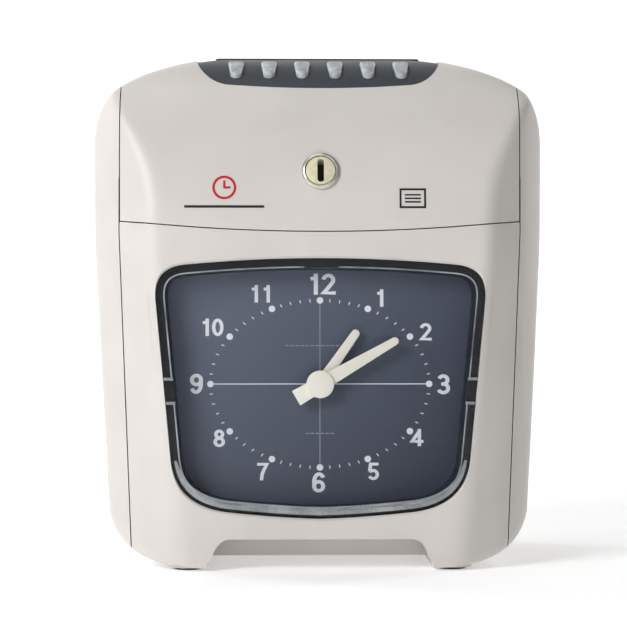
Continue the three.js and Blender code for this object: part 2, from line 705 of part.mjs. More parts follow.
function movementBack() {
  const end = PLATE.back + PLATE.thickness + 1;
  const holes = [
    onAxis(1.3, PLATE.back - 1, end, 16),
    rod(1.3, [0, PLATE.back - 1, TRAIN_Z], [0, end, TRAIN_Z], 16),
  ];
  const pillars = [-1, 1].flatMap((sx) => [-1, 1].map((sz) => {
    const [x, z] = [sx * (PLATE.half - 6), DIAL_Z - 3 + sz * (PLATE.halfHeight - 6)];
    return rod(2.4, [x, PLATE.front + PLATE.thickness + FIT, z], [x, PLATE.back + 0.5, z], 16);
  }));
  return join(movementPlate(PLATE.back, holes), ...pillars);
}

function stepperCoil() {
  const [x, y] = [19.5, PLATE.front + 9.5];
  const coil = rod(4.4, [x, y, DIAL_Z - 8], [x, y, DIAL_Z + 12]);
  const flanges = [-9, 12].map((z) => box(x - 5, x + 5, y - 5, y + 6.9, DIAL_Z + z, DIAL_Z + z + 1.5));
  return join(coil, ...flanges);
}

// ---- Button panel, buttons and keypad board -----------------------------------------------------

// A tilted frame on the curved top of the lid: across, uphill and outward.
function surfaceFrame(y) {
  const z = SEAM_Z + (HEIGHT - SEAM_Z) * Math.sqrt(1 - (y / FRONT) ** 2);
  const outward = new THREE.Vector3(0, y / FRONT ** 2, (z - SEAM_Z) / (HEIGHT - SEAM_Z) ** 2).normalize();
  const across = new THREE.Vector3(1, 0, 0);
  const uphill = outward.clone().cross(across);
  return new THREE.Matrix4().makeBasis(across, uphill, outward).setPosition(0, y, z);
}

const KEYPAD = surfaceFrame(BUTTON.y);
const UNDERSIDE = -(PANEL.recess + PANEL.thickness);
const BUTTON_FLANGE = UNDERSIDE - 1.2;
const BOARD_TOP = BUTTON_FLANGE - 4.6;
const KEYPAD_HALF = 48;

// An outline in the keypad's own plane, extruded between two heights above the lid's surface.
function keypadPrism(outline, low, high) {
  const depth = high - low;
  const geometry = new THREE.ExtrudeGeometry(new THREE.Shape(outline), { depth, bevelEnabled: false });
  return solid(geometry.translate(0, 0, low).applyMatrix4(KEYPAD));
}

const rectangle = (x0, x1, y0, y1) => [point(x0, y0), point(x1, y0), point(x1, y1), point(x0, y1)];
const buttonX = (i) => (i - (BUTTON.count - 1) / 2) * BUTTON.pitch;

function buttonOutline(i, grow) {
  const { long, wide, narrow } = BUTTON;
  const tip = narrow / 2;
  const outline = [
    ...arc(0, tip - long / 2, tip, tip, 190, 350, 5),
    ...arc(wide / 2 - 0.8, long / 2 - 0.8, 0.8, 0.8, 0, 90, 2),
    ...arc(0.8 - wide / 2, long / 2 - 0.8, 0.8, 0.8, 90, 180, 2),
  ];
  return inset(outline, -grow).map((p) => point(p.x + buttonX(i), p.y));
}

function button(i) {
  const cap = keypadPrism(buttonOutline(i, 0), BUTTON_FLANGE - 0.5, BUTTON.proud - PANEL.recess);
  const flange = keypadPrism(buttonOutline(i, 1), BUTTON_FLANGE - 1.3, BUTTON_FLANGE);
  return join(cap, flange);
}

function cardSlot(grow, z0, z1) {
  return box(-SLOT.half - grow, SLOT.half + grow, SLOT.frontY - grow, SLOT.backY + grow, z0, z1);
}

const LIP_RISE = 0.1; // the card slot mouth above the top of the case
const TIE = { frontY: -16, backY: -9, bottomZ: 206, topZ: 210 };

function buttonPanel() {
  const skin = cut(body(PANEL.recess), body(PANEL.recess + PANEL.thickness));
  const fascia = common(skin, prismZ(boatOutline(-GAP), SEAM_Z + 20, HEIGHT + 5));
  const lip = cardSlot(2.4, HEIGHT - PANEL.recess - PANEL.thickness, HEIGHT + LIP_RISE);
  const legs = [-1, 1].map((side) =>
    box(side * 53 - 3, side * 53 + 3, TIE.frontY + 1, TIE.backY - 1, TIE.topZ + FIT, HEIGHT - 2.2));
  const posts = [-1, 1].map((side) => {
    const outline = roundedRectangle(side * (KEYPAD_HALF - 2.4), 0, 1.4, 1.4, 1.3, 3);
    return keypadPrism(outline, BOARD_TOP + FIT, UNDERSIDE + 0.4);
  });
  const holes = Array.from({ length: BUTTON.count }, (_, i) =>
    keypadPrism(buttonOutline(i, 0.35), UNDERSIDE - 2, 4));
  const ceiling = body(PANEL.recess + 0.2);
  return cut(join(fascia, lip, ...legs.map((leg) => common(leg, ceiling)), ...posts), ...holes,
    cardSlot(0, HEIGHT - 20, HEIGHT + 5));
}

function keypadBoard() {
  const board = keypadPrism(rectangle(-KEYPAD_HALF, KEYPAD_HALF, -8.5, 8.5), BOARD_TOP - 1.6, BOARD_TOP);
  const switches = Array.from({ length: BUTTON.count }, (_, i) =>
    keypadPrism(rectangle(buttonX(i) - 3, buttonX(i) + 3, -3, 3), BOARD_TOP - 0.2, BOARD_TOP + 1.4));
  return join(board, ...switches);
}

// ---- Card chute ---------------------------------------------------------------------------------

const CHUTE = { half: 49, sheet: 1, bottomZ: 60, topZ: 228, roller: [-25, 25], rollerHalf: 6 };

function chuteWindows(y0, y1) {
  const print = box(-44, 44, y0, y1, SHAFT_Z + 2, SHAFT_Z + 18);
  const rollers = CHUTE.roller.map((x) =>
    box(x - CHUTE.rollerHalf - 1, x + CHUTE.rollerHalf + 1, y0, y1, FEED.z - 10, FEED.z + 10));
  return [print, ...rollers];
}

function cardGuideFront() {
  const y0 = SLOT.frontY - CHUTE.sheet;
  const sheet = box(-CHUTE.half, CHUTE.half, y0, SLOT.frontY, CHUTE.bottomZ, CHUTE.topZ);
  const sides = [-1, 1].map((side) => {
    const x = side * (CHUTE.half - CHUTE.sheet / 2);
    return box(x - 0.5, x + 0.5, y0, SLOT.backY - FIT, CHUTE.bottomZ, CHUTE.topZ);
  });
  const floor = box(-CHUTE.half, CHUTE.half, y0, SLOT.backY - FIT, CHUTE.bottomZ, CHUTE.bottomZ + 1);
  return cut(join(sheet, ...sides, floor), ...chuteWindows(y0 - 1, SLOT.frontY + 0.1));
}

function cardGuideRear() {
  const y1 = SLOT.backY + CHUTE.sheet;
  const sheet = box(-CHUTE.half, CHUTE.half, SLOT.backY, y1, CHUTE.bottomZ, CHUTE.topZ);
  const tabs = [-1, 1].flatMap((side) => [CHUTE.bottomZ + 8, SHAFT_Z - 20].map((z) => {
    const x = side * (CHUTE.half - 1);
    return box(x - 1, x + 1, y1 - 0.5, CHASSIS_Y - FIT, z, z + 12);
  }));
  return join(cut(sheet, ...chuteWindows(SLOT.backY - 1, y1 + 1)), ...tabs);
}

// ---- Lock ---------------------------------------------------------------------------------------

const LOCK_Y = FRONT * Math.sqrt(1 - ((LOCK.z - SEAM_Z) / (HEIGHT - SEAM_Z)) ** 2);
const LOCK_FRAME = surfaceFrame(LOCK_Y);

// A rod along the lock's axis; depth counts inwards from the lid's surface.
function lockRod(radius, fromDepth, toDepth, sides = 32) {
  const at = (depth) => new THREE.Vector3(0, 0, -depth).applyMatrix4(LOCK_FRAME).toArray();
  return rod(radius, at(fromDepth), at(toDepth), sides);
}

// An outline in the lock's face plane (across, uphill), between two depths.
function lockPrism(outline, fromDepth, toDepth) {
  const depth = toDepth - fromDepth;
  const geometry = new THREE.ExtrudeGeometry(new THREE.Shape(outline), { depth, bevelEnabled: false });
  return solid(geometry.translate(0, 0, -toDepth).applyMatrix4(LOCK_FRAME));
}

function lockBody() {
  const flange = lockRod(LOCK.face, -1.3, -0.15);
  const barrel = lockRod(LOCK.barrel, -0.5, LOCK.depth);
  return cut(join(flange, barrel), lockRod(LOCK.plug + 0.25, -3, LOCK.depth + 1));
}

function lockPlug() {
  const plug = lockRod(LOCK.plug, -1.7, LOCK.depth);
  const tail = lockRod(3, LOCK.depth - 0.5, LOCK.depth + 7, 20);
  const keyway = lockPrism(roundedRectangle(0, 0, 1.6, 5.2, 1.4, 3), -3, 9);
  return cut(join(plug, tail), keyway);
}

function lockCam() {
  const near = LOCK.depth + 1.2;
  const root = 4.5;
  const outer = [point(0, -root), point(LOCK.cam, -3.5), point(LOCK.cam, 3.5)];
  const arm = [...outer, ...arc(0, 0, root, root, 90, 270, 8)];
  return cut(lockPrism(arm, near, near + 2), lockRod(3.2, near - 1, near + 3, 20));
}

const hexagon = (radius) => arc(0, 0, radius, radius, 0, 300, 5);

function lockNut(radius, hole, fromDepth, toDepth) {
  return cut(lockPrism(hexagon(radius), fromDepth, toDepth), lockRod(hole, fromDepth - 1, toDepth + 1, 28));
}

// ---- Printer ------------------------------------------------------------------------------------

const INNER_HALF = FRAME.half - FRAME.sheet;
const AXLE_PLAY = 0.3;
const DRIVE_DISTANCE = (MODULE * (DRIVE_TEETH.pinion + DRIVE_TEETH.gear)) / 2;
const DRIVE_GEAR = { near: FRAME.half + 2, far: FRAME.half + 6 };
const MOTOR_RADIUS = 9;
const CARRIAGE_MOTOR_DEGREES = 117; // from the lead screw, measured from +Y towards +Z
const FEED_MOTOR_DEGREES = -90;

function aroundAxle(y, z, degrees) {
  const angle = THREE.MathUtils.degToRad(degrees);
  return [y + DRIVE_DISTANCE * Math.cos(angle), z + DRIVE_DISTANCE * Math.sin(angle)];
}

const [CARRIAGE_MOTOR_Y, CARRIAGE_MOTOR_Z] = aroundAxle(SCREW_Y, SHAFT_Z, CARRIAGE_MOTOR_DEGREES);
const [FEED_MOTOR_Y, FEED_MOTOR_Z] = aroundAxle(FEED.y, FEED.z, FEED_MOTOR_DEGREES);

const acrossX = (radius, x0, x1, y, z, sides = 20) => rod(radius, [x0, y, z], [x1, y, z], sides);

function driveGear(teeth, y, z, toothDegrees, x0, x1) {
  return prismX(gearOutline(teeth, toothDegrees).map((p) => point(p.x + y, p.y + z)), x0, x1);
}

function printerFrame() {
  const { half, sheet, frontY, backY, floorZ, topZ } = FRAME;
  const floor = box(-half, half, frontY, -10, floorZ, floorZ + sheet);
  const sides = [-1, 1].map((side) => {
    const x = side * (half - sheet / 2);
    return box(x - sheet / 2, x + sheet / 2, frontY, backY, floorZ, topZ);
  });
  const frontTie = box(-half, half, TIE.frontY, TIE.backY, TIE.bottomZ, TIE.topZ);
  const backTie = box(-half, half, backY - 4, CHASSIS_Y - FIT, FEED.z + 3, FEED.z + 13);
  const holes = [
    acrossX(2.5 + AXLE_PLAY, -half - 1, half + 1, SHAFT_Y, SHAFT_Z),
    acrossX(2.5 + AXLE_PLAY, -half - 1, half + 1, SCREW_Y, SHAFT_Z),
    acrossX(FEED.shaft + AXLE_PLAY, -half - 1, half + 1, FEED.y, FEED.z),
    acrossX(FEED.shaft + AXLE_PLAY, -half - 1, half + 1, FEED.pinchY, FEED.z),
    acrossX(3, -half - 1, -INNER_HALF + 1, CARRIAGE_MOTOR_Y, CARRIAGE_MOTOR_Z),
    acrossX(3, INNER_HALF - 1, half + 1, FEED_MOTOR_Y, FEED_MOTOR_Z),
  ];
  return cut(join(floor, ...sides, frontTie, backTie), ...holes);
}

function leadScrew() {
  const screw = acrossX(2.5, -DRIVE_GEAR.far - 1, FRAME.half + 1.5, SCREW_Y, SHAFT_Z);
  const gear = driveGear(DRIVE_TEETH.gear, SCREW_Y, SHAFT_Z, CARRIAGE_MOTOR_DEGREES,
    -DRIVE_GEAR.far, -DRIVE_GEAR.near);
  return join(screw, gear);
}

// A motor can between x0 and x1, bored for its shaft from the end that faces its gear.
function motor(x0, x1, y, z, shaftSide) {
  const can = acrossX(MOTOR_RADIUS, x0, x1, y, z, 28);
  const end = shaftSide < 0 ? x0 : x1;
  const boss = acrossX(2.6, end - 0.5, end + 0.5, y, z);
  const bore = acrossX(1.5, end - 8, end + 8, y, z, 16);
  return cut(join(can, boss), bore);
}

function motorPinion(side, y, z, toothDegrees) {
  const [near, far] = [side * DRIVE_GEAR.near, side * DRIVE_GEAR.far];
  const gear = driveGear(DRIVE_TEETH.pinion, y, z, toothDegrees, Math.min(near, far), Math.max(near, far));
  return join(gear, acrossX(1.2, side * (INNER_HALF - 6), far, y, z, 16));
}

const CARRIAGE = { half: 12, frontY: -36.5, backY: -11.5, bottomZ: 159, topZ: 184 };

function printCarriage() {
  const { half, frontY, backY, bottomZ, topZ } = CARRIAGE;
  const block = box(-half, half, frontY, backY, bottomZ, SHAFT_Z + 6);
  const upright = box(-half + 2, half - 2, backY - 9, backY, bottomZ, topZ);
  const bores = [
    acrossX(2.5 + AXLE_PLAY, -half - 1, half + 1, SHAFT_Y, SHAFT_Z),
    acrossX(2.5 + AXLE_PLAY, -half - 1, half + 1, SCREW_Y, SHAFT_Z),
  ];
  return cut(join(block, upright), ...bores);
}

// The print head's body, with its needle nose towards the card.
function printHead() {
  const y = CARRIAGE.backY + FIT;
  const plate = box(-8, 8, y, y + 2.4, SHAFT_Z + 4, SHAFT_Z + 17);
  const nose = box(-3, 3, y + 2, SLOT.frontY - 0.8, SHAFT_Z + 7, SHAFT_Z + 14);
  return join(plate, nose);
}

const CASSETTE = { half: 62, frontY: -37.5, backY: -15.5, bottomZ: 188, topZ: 199 };
const KNOB = { x: 48, y: -27, radius: 6.5 };

function ribbonCassette() {
  const { half, frontY, backY, bottomZ, topZ } = CASSETTE;
  const outline = roundedRectangle(0, (frontY + backY) / 2, half, (backY - frontY) / 2, 5, 4);
  const spindle = rod(2, [KNOB.x, KNOB.y, topZ - 0.5], [KNOB.x, KNOB.y, topZ + 3.5], 16);
  const tray = prismZ(outline, bottomZ, topZ);
  const grip = box(-16, 16, frontY + 4, frontY + 6, topZ - 0.5, topZ + 4);
  return join(tray, spindle, grip);
}

function ribbonKnob() {
  const outline = Array.from({ length: 36 }, (_, i) => {
    const radius = KNOB.radius - (i % 2) * 0.5;
    const angle = (i / 36) * 2 * Math.PI;
    return point(KNOB.x + radius * Math.cos(angle), KNOB.y + radius * Math.sin(angle));
  });
  const z0 = CASSETTE.topZ + FIT;
  const knob = prismZ(outline, z0, z0 + 5.5);
  const pointer = box(KNOB.x - 5, KNOB.x + 5, KNOB.y - 0.8, KNOB.y + 0.8, z0 + 5, z0 + 7);
  return cut(join(knob, pointer), rod(2.3, [KNOB.x, KNOB.y, z0 - 1], [KNOB.x, KNOB.y, z0 + 3.6], 16));
}

function platen() {
  return box(-42, 42, SLOT.backY + 0.4, SLOT.backY + 8, SHAFT_Z + 4, SHAFT_Z + 16);
}

function platenHolder() {
  const y = SLOT.backY + 8 + FIT;
  return box(FIT - INNER_HALF, INNER_HALF - FIT, y, y + 3, SHAFT_Z + 2, SHAFT_Z + 8);
}

function rollers(radius, half, y) {
  return CHUTE.roller.map((x) => acrossX(radius, x - half, x + half, y, FEED.z, 28));
}

function feedRoller() {
  const shaft = acrossX(FEED.shaft, -FRAME.half - 1.5, DRIVE_GEAR.far + 1, FEED.y, FEED.z);
  const gear = driveGear(DRIVE_TEETH.gear, FEED.y, FEED.z, FEED_MOTOR_DEGREES,
    DRIVE_GEAR.near, DRIVE_GEAR.far);
  return join(shaft, gear, ...rollers(FEED.radius, CHUTE.rollerHalf, FEED.y));
}

function pinchRoller() {
  const shaft = acrossX(FEED.shaft, -FRAME.half - 1.5, FRAME.half + 1.5, FEED.pinchY, FEED.z);
  return join(shaft, ...rollers(FEED.pinchRadius, CHUTE.rollerHalf - 1, FEED.pinchY));
}

// ---- Chassis and electrics ----------------------------------------------------------------------

const CHASSIS_Y = 22;
const CHASSIS_BACK = CHASSIS_Y + 1.5;
const TRANSFORMER = { x: 8, y: 41, halfCore: 26, halfCoil: 16 };
const MAIN_BOARD = { x0: -70, x1: 46, z0: 92, z1: 188, y: 27 };

function chassisPlate() {
  const plate = box(-82, 82, CHASSIS_Y, CHASSIS_BACK, FLOOR + 0.4, FRAME.topZ);
  const flange = box(-46, 46, CHASSIS_Y, 55, FLOOR + 0.4, FLOOR + 1.9);
  const bracketX = FRAME.half - 2;
  const brackets = [-bracketX, bracketX].map((x) =>
    box(x - 4, x + 4, CHASSIS_Y - 14, CHASSIS_Y + 0.5, FRAME.floorZ - 2, FRAME.floorZ - 0.4));
  return common(join(plate, flange, ...brackets), inside);
}

function mainBoard() {
  const { x0, x1, z0, z1, y } = MAIN_BOARD;
  const board = box(x0, x1, y, y + 1.6, z0, z1);
  const top = y + 1.5;
  const feet = [x0 + 6, x1 - 6].flatMap((x) => [z0 + 6, z1 - 6].map((z) =>
    rod(2.6, [x, CHASSIS_BACK + FIT, z], [x, y + 0.1, z], 16)));
  const chips = [[-40, 160, 14, 7], [-10, 150, 9, 9], [20, 165, 12, 5]].map(([x, z, halfX, halfZ]) =>
    box(x - halfX, x + halfX, top, top + 3, z - halfZ, z + halfZ));
  const cans = [-52, -38, 30].map((x) => rod(5, [x, top, 112], [x, top + 14, 112], 20));
  return join(board, ...feet, ...chips, ...cans);
}

function transformer() {
  const { x, y, halfCore, halfCoil } = TRANSFORMER;
  const z = FLOOR + 2.2;
  const core = box(x - halfCore, x + halfCore, y - 11, y + 11, z, z + 40);
  const coil = box(x - halfCoil, x + halfCoil, y - 16, y + 16, z + 8, z + 32);
  return join(core, coil);
}

function backupBattery() {
  const holder = box(28, 78, CHASSIS_BACK + FIT, CHASSIS_BACK + 6, 62, 78);
  return join(holder, acrossX(8, 31, 75, CHASSIS_BACK + 10, 70, 24));
}

function buzzer() {
  const [x, z] = [-65, 120];
  const can = rod(10, [x, CHASSIS_Y - FIT, z], [x, CHASSIS_Y - 11, z], 28);
  return cut(can, rod(1.8, [x, CHASSIS_Y - 8, z], [x, CHASSIS_Y - 15, z], 16));
}

// ---- Assembly -----------------------------------------------------------------------------------

add("rear_case", rearCase(), PLASTIC);
add("front_cover", frontCover(), PLASTIC);
add("top_cover", topCover(), PLASTIC);
add("hinge_pin_left", hingePin(-1), STEEL);
add("hinge_pin_right", hingePin(1), STEEL);
PADS.forEach(([name, x, y]) => add(`foot_${name}`, footPad(x, y), RUBBER));
add("case_screw_left", caseScrew(-1), STEEL);
add("case_screw_right", caseScrew(1), STEEL);
add("power_inlet", powerInlet(), DARK);

add("dial_window", dialWindow(), { color: 0xcfd6dc, roughness: 0.1, metalness: 0 });
add("dial_bezel", dialBezel(), DARK);
add("dial_plate", dialPlate(), { color: 0x4a566b, roughness: 0.5, metalness: 0 });
add("minute_hand", minuteHand(), { color: 0xebece3, roughness: 0.5, metalness: 0 });
add("hour_hand", hourHand(), { color: 0xebece3, roughness: 0.5, metalness: 0 });
add("minute_arbor", minuteArbor(), STEEL);
add("minute_wheel", minuteWheel(), BRASS);
add("hour_wheel", hourWheel(), BRASS);
add("movement_front", movementFront(), BRASS);
add("movement_back", movementBack(), BRASS);
add("stepper_coil", stepperCoil(), { color: 0xa8532f, roughness: 0.5, metalness: 0.3 });

add("button_panel", buttonPanel(), DARK);
for (let i = 0; i < BUTTON.count; i++) {
  add(`button_${i + 1}`, button(i), { color: 0xa3aab2, roughness: 0.4, metalness: 0 });
}
add("keypad_board", keypadBoard(), BOARD);
add("card_guide_front", cardGuideFront(), STEEL);
add("card_guide_rear", cardGuideRear(), STEEL);

add("lock_body", lockBody(), STEEL);
add("lock_plug", lockPlug(), { color: 0xddd6ba, roughness: 0.35, metalness: 0.2 });
add("lock_cam", lockCam(), STEEL);
add("lock_nut", lockNut(11, LOCK.barrel + FIT, 3.5, 6.5), STEEL);
add("lock_cam_nut", lockNut(5.5, 3.3, LOCK.depth + 3.5, LOCK.depth + 6), STEEL);

add("printer_frame", printerFrame(), STEEL);
add("carriage_shaft", acrossX(2.5, -FRAME.half - 1.5, FRAME.half + 1.5, SHAFT_Y, SHAFT_Z), STEEL);
add("lead_screw", leadScrew(), STEEL);
add("carriage_motor", motor(0.5 - INNER_HALF, -52, CARRIAGE_MOTOR_Y, CARRIAGE_MOTOR_Z, -1), STEEL);
add("carriage_pinion", motorPinion(-1, CARRIAGE_MOTOR_Y, CARRIAGE_MOTOR_Z,
  CARRIAGE_MOTOR_DEGREES + 180 + halfPitch(DRIVE_TEETH.pinion)), BRASS);
add("print_carriage", printCarriage(), DARK);
add("print_head", printHead(), STEEL);
add("ribbon_cassette", ribbonCassette(), DARK);
add("ribbon_knob", ribbonKnob(), { color: 0xd9d9d4, roughness: 0.5, metalness: 0 });
add("platen", platen(), RUBBER);
add("platen_bar", platenHolder(), STEEL);
add("feed_roller", feedRoller(), RUBBER);
add("pinch_roller", pinchRoller(), RUBBER);
add("feed_motor", motor(52, INNER_HALF - 0.5, FEED_MOTOR_Y, FEED_MOTOR_Z, 1), STEEL);
add("feed_pinion", motorPinion(1, FEED_MOTOR_Y, FEED_MOTOR_Z,
  FEED_MOTOR_DEGREES + 180 + halfPitch(DRIVE_TEETH.pinion)), BRASS);

add("chassis_plate", chassisPlate(), STEEL);
add("main_board", mainBoard(), BOARD);
add("transformer", transformer(), { color: 0x5a5a5e, roughness: 0.6, metalness: 0.5 });
add("backup_battery", backupBattery(), { color: 0x3f6f9c, roughness: 0.5, metalness: 0 });
add("buzzer", buzzer(), DARK);

export default clock;
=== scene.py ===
"""Punch time clock: the looks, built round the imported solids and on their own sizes."""
import json
import math

import bmesh
import bpy
import numpy as np
from mathutils import Matrix, Vector


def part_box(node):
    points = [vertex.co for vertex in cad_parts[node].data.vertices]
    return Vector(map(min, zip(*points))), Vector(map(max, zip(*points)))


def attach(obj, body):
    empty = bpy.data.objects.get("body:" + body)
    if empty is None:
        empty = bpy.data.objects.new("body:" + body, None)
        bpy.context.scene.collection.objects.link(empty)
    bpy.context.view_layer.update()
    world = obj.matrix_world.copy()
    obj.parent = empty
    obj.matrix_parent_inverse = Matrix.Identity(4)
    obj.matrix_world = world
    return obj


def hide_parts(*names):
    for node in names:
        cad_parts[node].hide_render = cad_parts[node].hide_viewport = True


MM = 0.001

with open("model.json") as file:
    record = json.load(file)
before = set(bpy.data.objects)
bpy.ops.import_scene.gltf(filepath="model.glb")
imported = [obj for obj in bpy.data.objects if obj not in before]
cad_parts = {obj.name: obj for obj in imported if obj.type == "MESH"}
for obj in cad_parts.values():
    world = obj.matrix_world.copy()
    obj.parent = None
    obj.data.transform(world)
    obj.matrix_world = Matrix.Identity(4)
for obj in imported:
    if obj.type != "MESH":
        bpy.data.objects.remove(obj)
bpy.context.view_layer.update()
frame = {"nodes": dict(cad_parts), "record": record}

# ---- Sizes, in millimetres, read from the frame or named here ----


def box_mm(node):
    low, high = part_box(node)
    return low / MM, high / MM


case_low, case_high = box_mm("rear_case")
front_low, front_high = box_mm("front_cover")
lid_low, lid_high = box_mm("top_cover")
panel_low, panel_high = box_mm("button_panel")
dial_low, _ = box_mm("dial_plate")

WIDTH = case_high.x - case_low.x
BACK = case_high.y
FRONT = front_low.y
HEIGHT = lid_high.z
WALL = 2.4
SEAM_GAP = 0.5
FOOT_LIFT = case_low.z

SEAM_Z = lid_low.z - 0.2
SEAM_SIDE_Z = SEAM_Z + 5
LID_HALF = lid_high.x
FACE_HALF = (63, 77, 72)
BEVEL_HALF = (85.6, 91.6, 91.6)
BEVEL_DEPTH = 13
TOP_FLAT = 50
EDGE_SOFTNESS = 3.0  # how wide the blend is where two faces of the case meet
SIDE_ROOM = 3  # keeps the plan's sides clear of the outline, which alone sets the width

# How the outline turns from the foot into the side, and from the side into the top.
FOOT_BEND = (92, 5)
FOOT_END = (97, 24)
SHOULDER_Z = 150
SHOULDER_BEND = ((0, 45), (0.2, 21), (-17.5, 10))  # past the half width, and down from the top

# How the cheeks swell behind the bevel: share of the swell, and depth.
SWELL_BEND = (0.82, -30)
SWELL_END = (1, -5)
REAR_CHAMFER_DEPTH, REAR_CHAMFER_WIDTH = 12, 6

ARCH_HALF = 41
ARCH_FOOT_HALF = 51
ARCH_HEIGHT = 14.3
ARCH_DEPTH = 30
BELLY_Z = 4

HINGE_RADIUS = 9
HINGE_Y = BACK - HINGE_RADIUS
HINGE_Z = HEIGHT - HINGE_RADIUS

WINDOW = {"top": 141, "bottom": 23.4, "half_top": 75.7, "half_bottom": 66.1, "crown": 3}
DIAL_Z = 83.8
DIAL_FRONT = dial_low.y

# ---- Small tools ----


def link(name, mesh):
    obj = bpy.data.objects.new(name, mesh)
    bpy.context.scene.collection.objects.link(obj)
    return obj


def mesh_object(name, vertices_mm, faces):
    mesh = bpy.data.meshes.new(name)
    mesh.from_pydata([tuple(c * MM for c in v) for v in vertices_mm], [], faces)
    mesh.validate()
    return link(name, mesh)


def drop(obj):
    bpy.data.objects.remove(obj)


def applied(obj):
    """Bakes the object's modifiers into its mesh."""
    bpy.context.view_layer.update()
    evaluated = obj.evaluated_get(bpy.context.evaluated_depsgraph_get())
    mesh = bpy.data.meshes.new_from_object(evaluated)
    obj.modifiers.clear()
    obj.data = mesh
    return obj


def boolean(obj, cutter, operation):
    """Cuts or joins with another mesh, which is used up."""
    modifier = obj.modifiers.new("cut", "BOOLEAN")
    modifier.operation = operation
    modifier.solver = "MANIFOLD"
    modifier.object = cutter
    applied(obj)
    drop(cutter)
    return obj


def subtract(obj, *cutters):
    for cutter in cutters:
        boolean(obj, cutter, "DIFFERENCE")
    return obj


def intersect(obj, cutter):
    return boolean(obj, cutter, "INTERSECT")


def smooth(obj, degrees=32):
    for polygon in obj.data.polygons:
        polygon.use_smooth = True
    obj.data.set_sharp_from_angle(angle=math.radians(degrees))
    return obj


def soften(obj, width_mm, segments=3, degrees=35):
    """Rounds the hard edges of a clean mesh."""
    modifier = obj.modifiers.new("soft_edges", "BEVEL")
    modifier.width = width_mm * MM
    modifier.segments = segments
    modifier.limit_method = "ANGLE"
    modifier.angle_limit = math.radians(degrees)
    return smooth(applied(obj))


def finished(obj, material, body, slot, *nodes):
    obj.data.materials.clear()
    obj.data.materials.append(material)
    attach(obj, body)
    if nodes:
        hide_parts(*nodes)
    return obj


# How an outline's two axes and its thickness lie in the frame, for each way to extrude.
ACROSS_X = lambda u, v, w: (w, u, v)
ACROSS_Y = lambda u, v, w: (u, w, v)
ACROSS_Z = lambda u, v, w: (u, v, w)


def prism(name, outline, start, end, place):
    """A closed outline extruded from start to end."""
    count = len(outline)
    vertices = [place(u, v, w) for w in (start, end) for u, v in outline]
    sides = [(i, (i + 1) % count, count + (i + 1) % count, count + i) for i in range(count)]
    faces = sides + [tuple(reversed(range(count))), tuple(range(count, 2 * count))]
    obj = mesh_object(name, vertices, faces)
    return outward(obj)


def outward(obj):
    work = bmesh.new()
    work.from_mesh(obj.data)
    bmesh.ops.recalc_face_normals(work, faces=work.faces)
    work.to_mesh(obj.data)
    work.free()
    return obj


def bar(u0, u1, v0, v1):
    return [(u0, v0), (u1, v0), (u1, v1), (u0, v1)]


def block(name, x0, x1, y0, y1, z0, z1):
    return prism(name, bar(x0, x1, y0, y1), z0, z1, ACROSS_Z)


def turned(name, profile, place, sides=64):
    """A ring or disc: pairs of radius and height turned about an axis."""
    count = len(profile)
    vertices = []
    for i in range(sides):
        angle = 2 * math.pi * i / sides
        vertices += [place(r * math.cos(angle), r * math.sin(angle), h) for r, h in profile]
    faces = []
    for i in range(sides):
        following = (i + 1) % sides
        for j in range(count):
            below = (j + 1) % count
            here, there = i * count, following * count
            faces.append((here + j, here + below, there + below, there + j))
    obj = mesh_object(name, vertices, faces)
    work = bmesh.new()
    work.from_mesh(obj.data)
    bmesh.ops.remove_doubles(work, verts=work.verts, dist=1e-7)
    bmesh.ops.dissolve_degenerate(work, edges=work.edges, dist=1e-7)
    work.to_mesh(obj.data)
    work.free()
    return outward(obj)


def bezier(*controls, steps=12):
    """Points on a Bezier curve, without its last point."""
    points = []
    for i in range(steps):
        level = [np.array(c, float) for c in controls]
        t = i / steps
        while len(level) > 1:
            level = [a + (b - a) * t for a, b in zip(level, level[1:])]
        points.append(tuple(level[0]))
    return points


def arc(cx, cy, rx, ry, start, end, steps):
    angles = [math.radians(start + (end - start) * i / steps) for i in range(steps + 1)]
    return [(cx + rx * math.cos(a), cy + ry * math.sin(a)) for a in angles]


def mirrored(half):
    left = [(-x, y) for x, y in reversed(half)]
    outline = half + left
    follow = outline[1:] + outline[:1]
    return [p for p, q in zip(outline, follow) if math.dist(p, q) > 1e-6]


def inset(outline, distance):
    points = [Vector(p) for p in outline]
    result = []
    for i, corner in enumerate(points):
        before = (corner - points[i - 1]).normalized()
        after = (points[(i + 1) % len(points)] - corner).normalized()
        first, second = Vector((-before.y, before.x)), Vector((-after.y, after.x))
        moved = corner + (first + second) * (distance / (1 + first.dot(second)))
        result.append((moved.x, moved.y))
    return result


def rounded_rectangle(cx, cy, half_x, half_y, radius, steps=6):
    corners = ((1, -1, -90), (1, 1, 0), (-1, 1, 90), (-1, -1, 180))
    outline = []
    for sx, sy, start in corners:
        outline += arc(cx + sx * (half_x - radius), cy + sy * (half_y - radius), radius, radius,
                       start, start + 90, steps)
    return outline


# ---- Outlines of the case ----


def front_outline():
    half = WIDTH / 2
    shoulder = [(half + past, HEIGHT - down) for past, down in SHOULDER_BEND]
    return mirrored([
        *bezier((FACE_HALF[0], FOOT_LIFT), FOOT_BEND, FOOT_END, steps=14),
        FOOT_END,
        (half - 0.5, SHOULDER_Z),
        *bezier(*shoulder, (TOP_FLAT, HEIGHT), steps=24),
        (TOP_FLAT, HEIGHT),
    ])


def side_outline():
    return [
        (FRONT, FOOT_LIFT),
        (BACK, FOOT_LIFT),
        *arc(HINGE_Y, HINGE_Z, HINGE_RADIUS, HINGE_RADIUS, 0, 90, 12),
        *arc(0, SEAM_Z, -FRONT, HEIGHT - SEAM_Z, 90, 180, 44),
    ]


